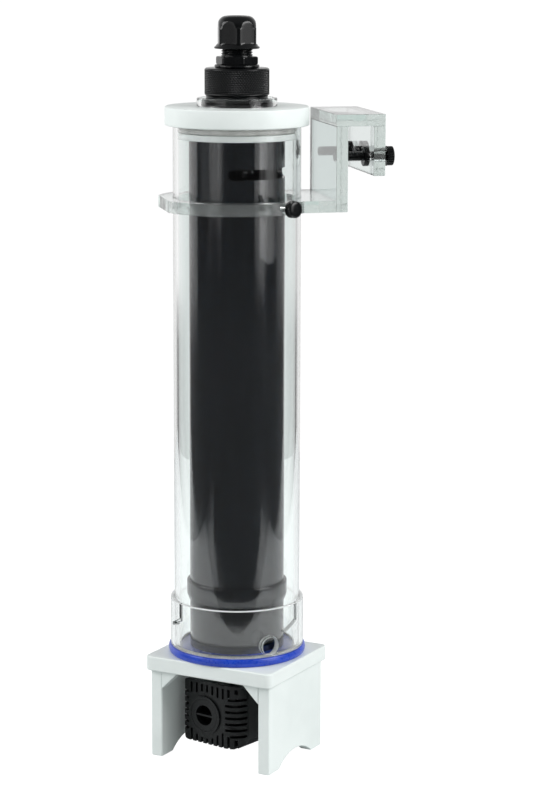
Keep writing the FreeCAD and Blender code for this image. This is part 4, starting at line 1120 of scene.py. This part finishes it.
def studio():
    """White backdrop where it is looked at straight or through glass, and a dim room for the rest."""
    world = bpy.data.worlds.new("studio")
    bpy.context.scene.world = world
    world.use_nodes = True
    tree = world.node_tree
    background = tree.nodes["Background"]
    path = tree.nodes.new("ShaderNodeLightPath").outputs
    direction = tree.nodes.new("ShaderNodeTexCoord").outputs["Generated"]

    def along(axis, at, values=(0.0, 1.0)):
        """Value that changes with the ray's slope along an axis."""
        dot = tree.nodes.new("ShaderNodeVectorMath")
        dot.operation = "DOT_PRODUCT"
        tree.links.new(direction, dot.inputs[0])
        dot.inputs[1].default_value = axis
        return ramp(dot.outputs["Value"], at, values)

    def ramp(source, at, values=(0.0, 1.0)):
        ranged = tree.nodes.new("ShaderNodeMapRange")
        ranged.interpolation_type = "SMOOTHSTEP"
        tree.links.new(source, ranged.inputs["Value"])
        for key, value in zip(RANGE_SOCKETS, (*at, *values)):
            ranged.inputs[key].default_value = value
        return ranged.outputs["Result"]

    def choose(share, first, second, kind="FLOAT"):
        """Blends from the first to the second: each is a plain value or a socket."""
        mix = tree.nodes.new("ShaderNodeMix")
        mix.data_type = kind
        tree.links.new(share, mix.inputs[0])
        first_socket = 6 if kind == "RGBA" else 2
        for source, socket in ((first, mix.inputs[first_socket]), (second, mix.inputs[first_socket + 1])):
            if isinstance(source, (float, tuple)):
                socket.default_value = source
            else:
                tree.links.new(source, socket)
        return mix.outputs[2] if kind == "RGBA" else mix.outputs[0]

    behind = along(CAMERA_RIGHT, (-0.5, 0.5), (BACK_LEFT, BACK_RIGHT))
    room = choose(along(-TO_CAMERA, (0.25, 0.34)), FRONT_DARK, behind)
    room = choose(along(UP, (-0.165, -0.13), (1.0, 0.0)), room, BELOW)
    room = choose(along(-TO_CAMERA, (0.78, 0.88)), room, BACKDROP_TURNED)
    room = choose(along(UP, (0.30, 0.85)), room, ZENITH)
    ambient = choose(ramp(path["Transmission Depth"], (1.0, 2.0)), AMBIENT, INSIDE_AMBIENT)
    room = choose(ramp(path["Diffuse Depth"], (0.0, 1.0)), room, ambient)
    bounced = ramp(bounces(tree, path), (0.0, 1.0))
    strength = choose(path["Is Camera Ray"], choose(bounced, BACKDROP_THROUGH, room), BACKDROP_SEEN)
    tree.links.new(strength, background.inputs["Strength"])
    white = (*WHITE, 1.0)
    straight = choose(path["Is Camera Ray"], (*STRAIGHT_TINT, 1.0), white, "RGBA")
    tree.links.new(choose(bounced, straight, white, "RGBA"), background.inputs["Color"])
    world.cycles.sampling_method = "NONE"


def camera():
    distance, height = 1.5525, 0.5206
    pitch, yaw = math.radians(10.423), math.radians(0.6785)
    ahead = -TO_CAMERA * math.cos(pitch) - UP * math.sin(pitch)
    above = UP * math.cos(pitch) - TO_CAMERA * math.sin(pitch)
    right = ahead.cross(above)
    forward = ahead * math.cos(yaw) + right * math.sin(yaw)
    side = right * math.cos(yaw) - ahead * math.sin(yaw)
    data = bpy.data.cameras.new("camera")
    data.lens = 114.4
    data.sensor_width = 36
    eye = linked("camera", data)
    pose = Matrix((side, above, -forward)).transposed().to_4x4()
    pose.translation = TO_CAMERA * distance + UP * height
    eye.matrix_world = pose
    bpy.context.scene.camera = eye


SOFTBOXES = (
    # name, degrees round from the camera, distance, height, size, watts
    ("softbox_left", -50, 1.4, 0.70, (1.02, 1.1), 1.6),
    ("strip_left", -42, 1.38, 0.70, (0.28, 1.1), 0.5),
    ("softbox_right", 59, 1.4, 0.65, (0.95, 1.1), 3.2),
    ("strip_right", 61, 1.38, 0.65, (0.42, 1.1), 2.0),
    ("key_left", -80, 1.4, 0.98, (1.0, 0.7), 12.5),
    ("key_right", 66, 1.4, 0.98, (1.0, 0.7), 13.5),
)

camera()
studio()
for light in SOFTBOXES:
    softbox(*light)
floor()
bpy.context.scene.view_settings.view_transform = "Standard"

stand()
base_rings()
outer_tube()
lock_pins()
socket_sleeve()
black_tubes()
lid()
neck_seat()
neck()
neck_seals()
knurled_nut()
gland_body()
gland_seal()
dome_nut()
quartz_sleeve()
lamp()
bracket()
clamp_screws()
collar_screw()
pump()
pump_rotor()
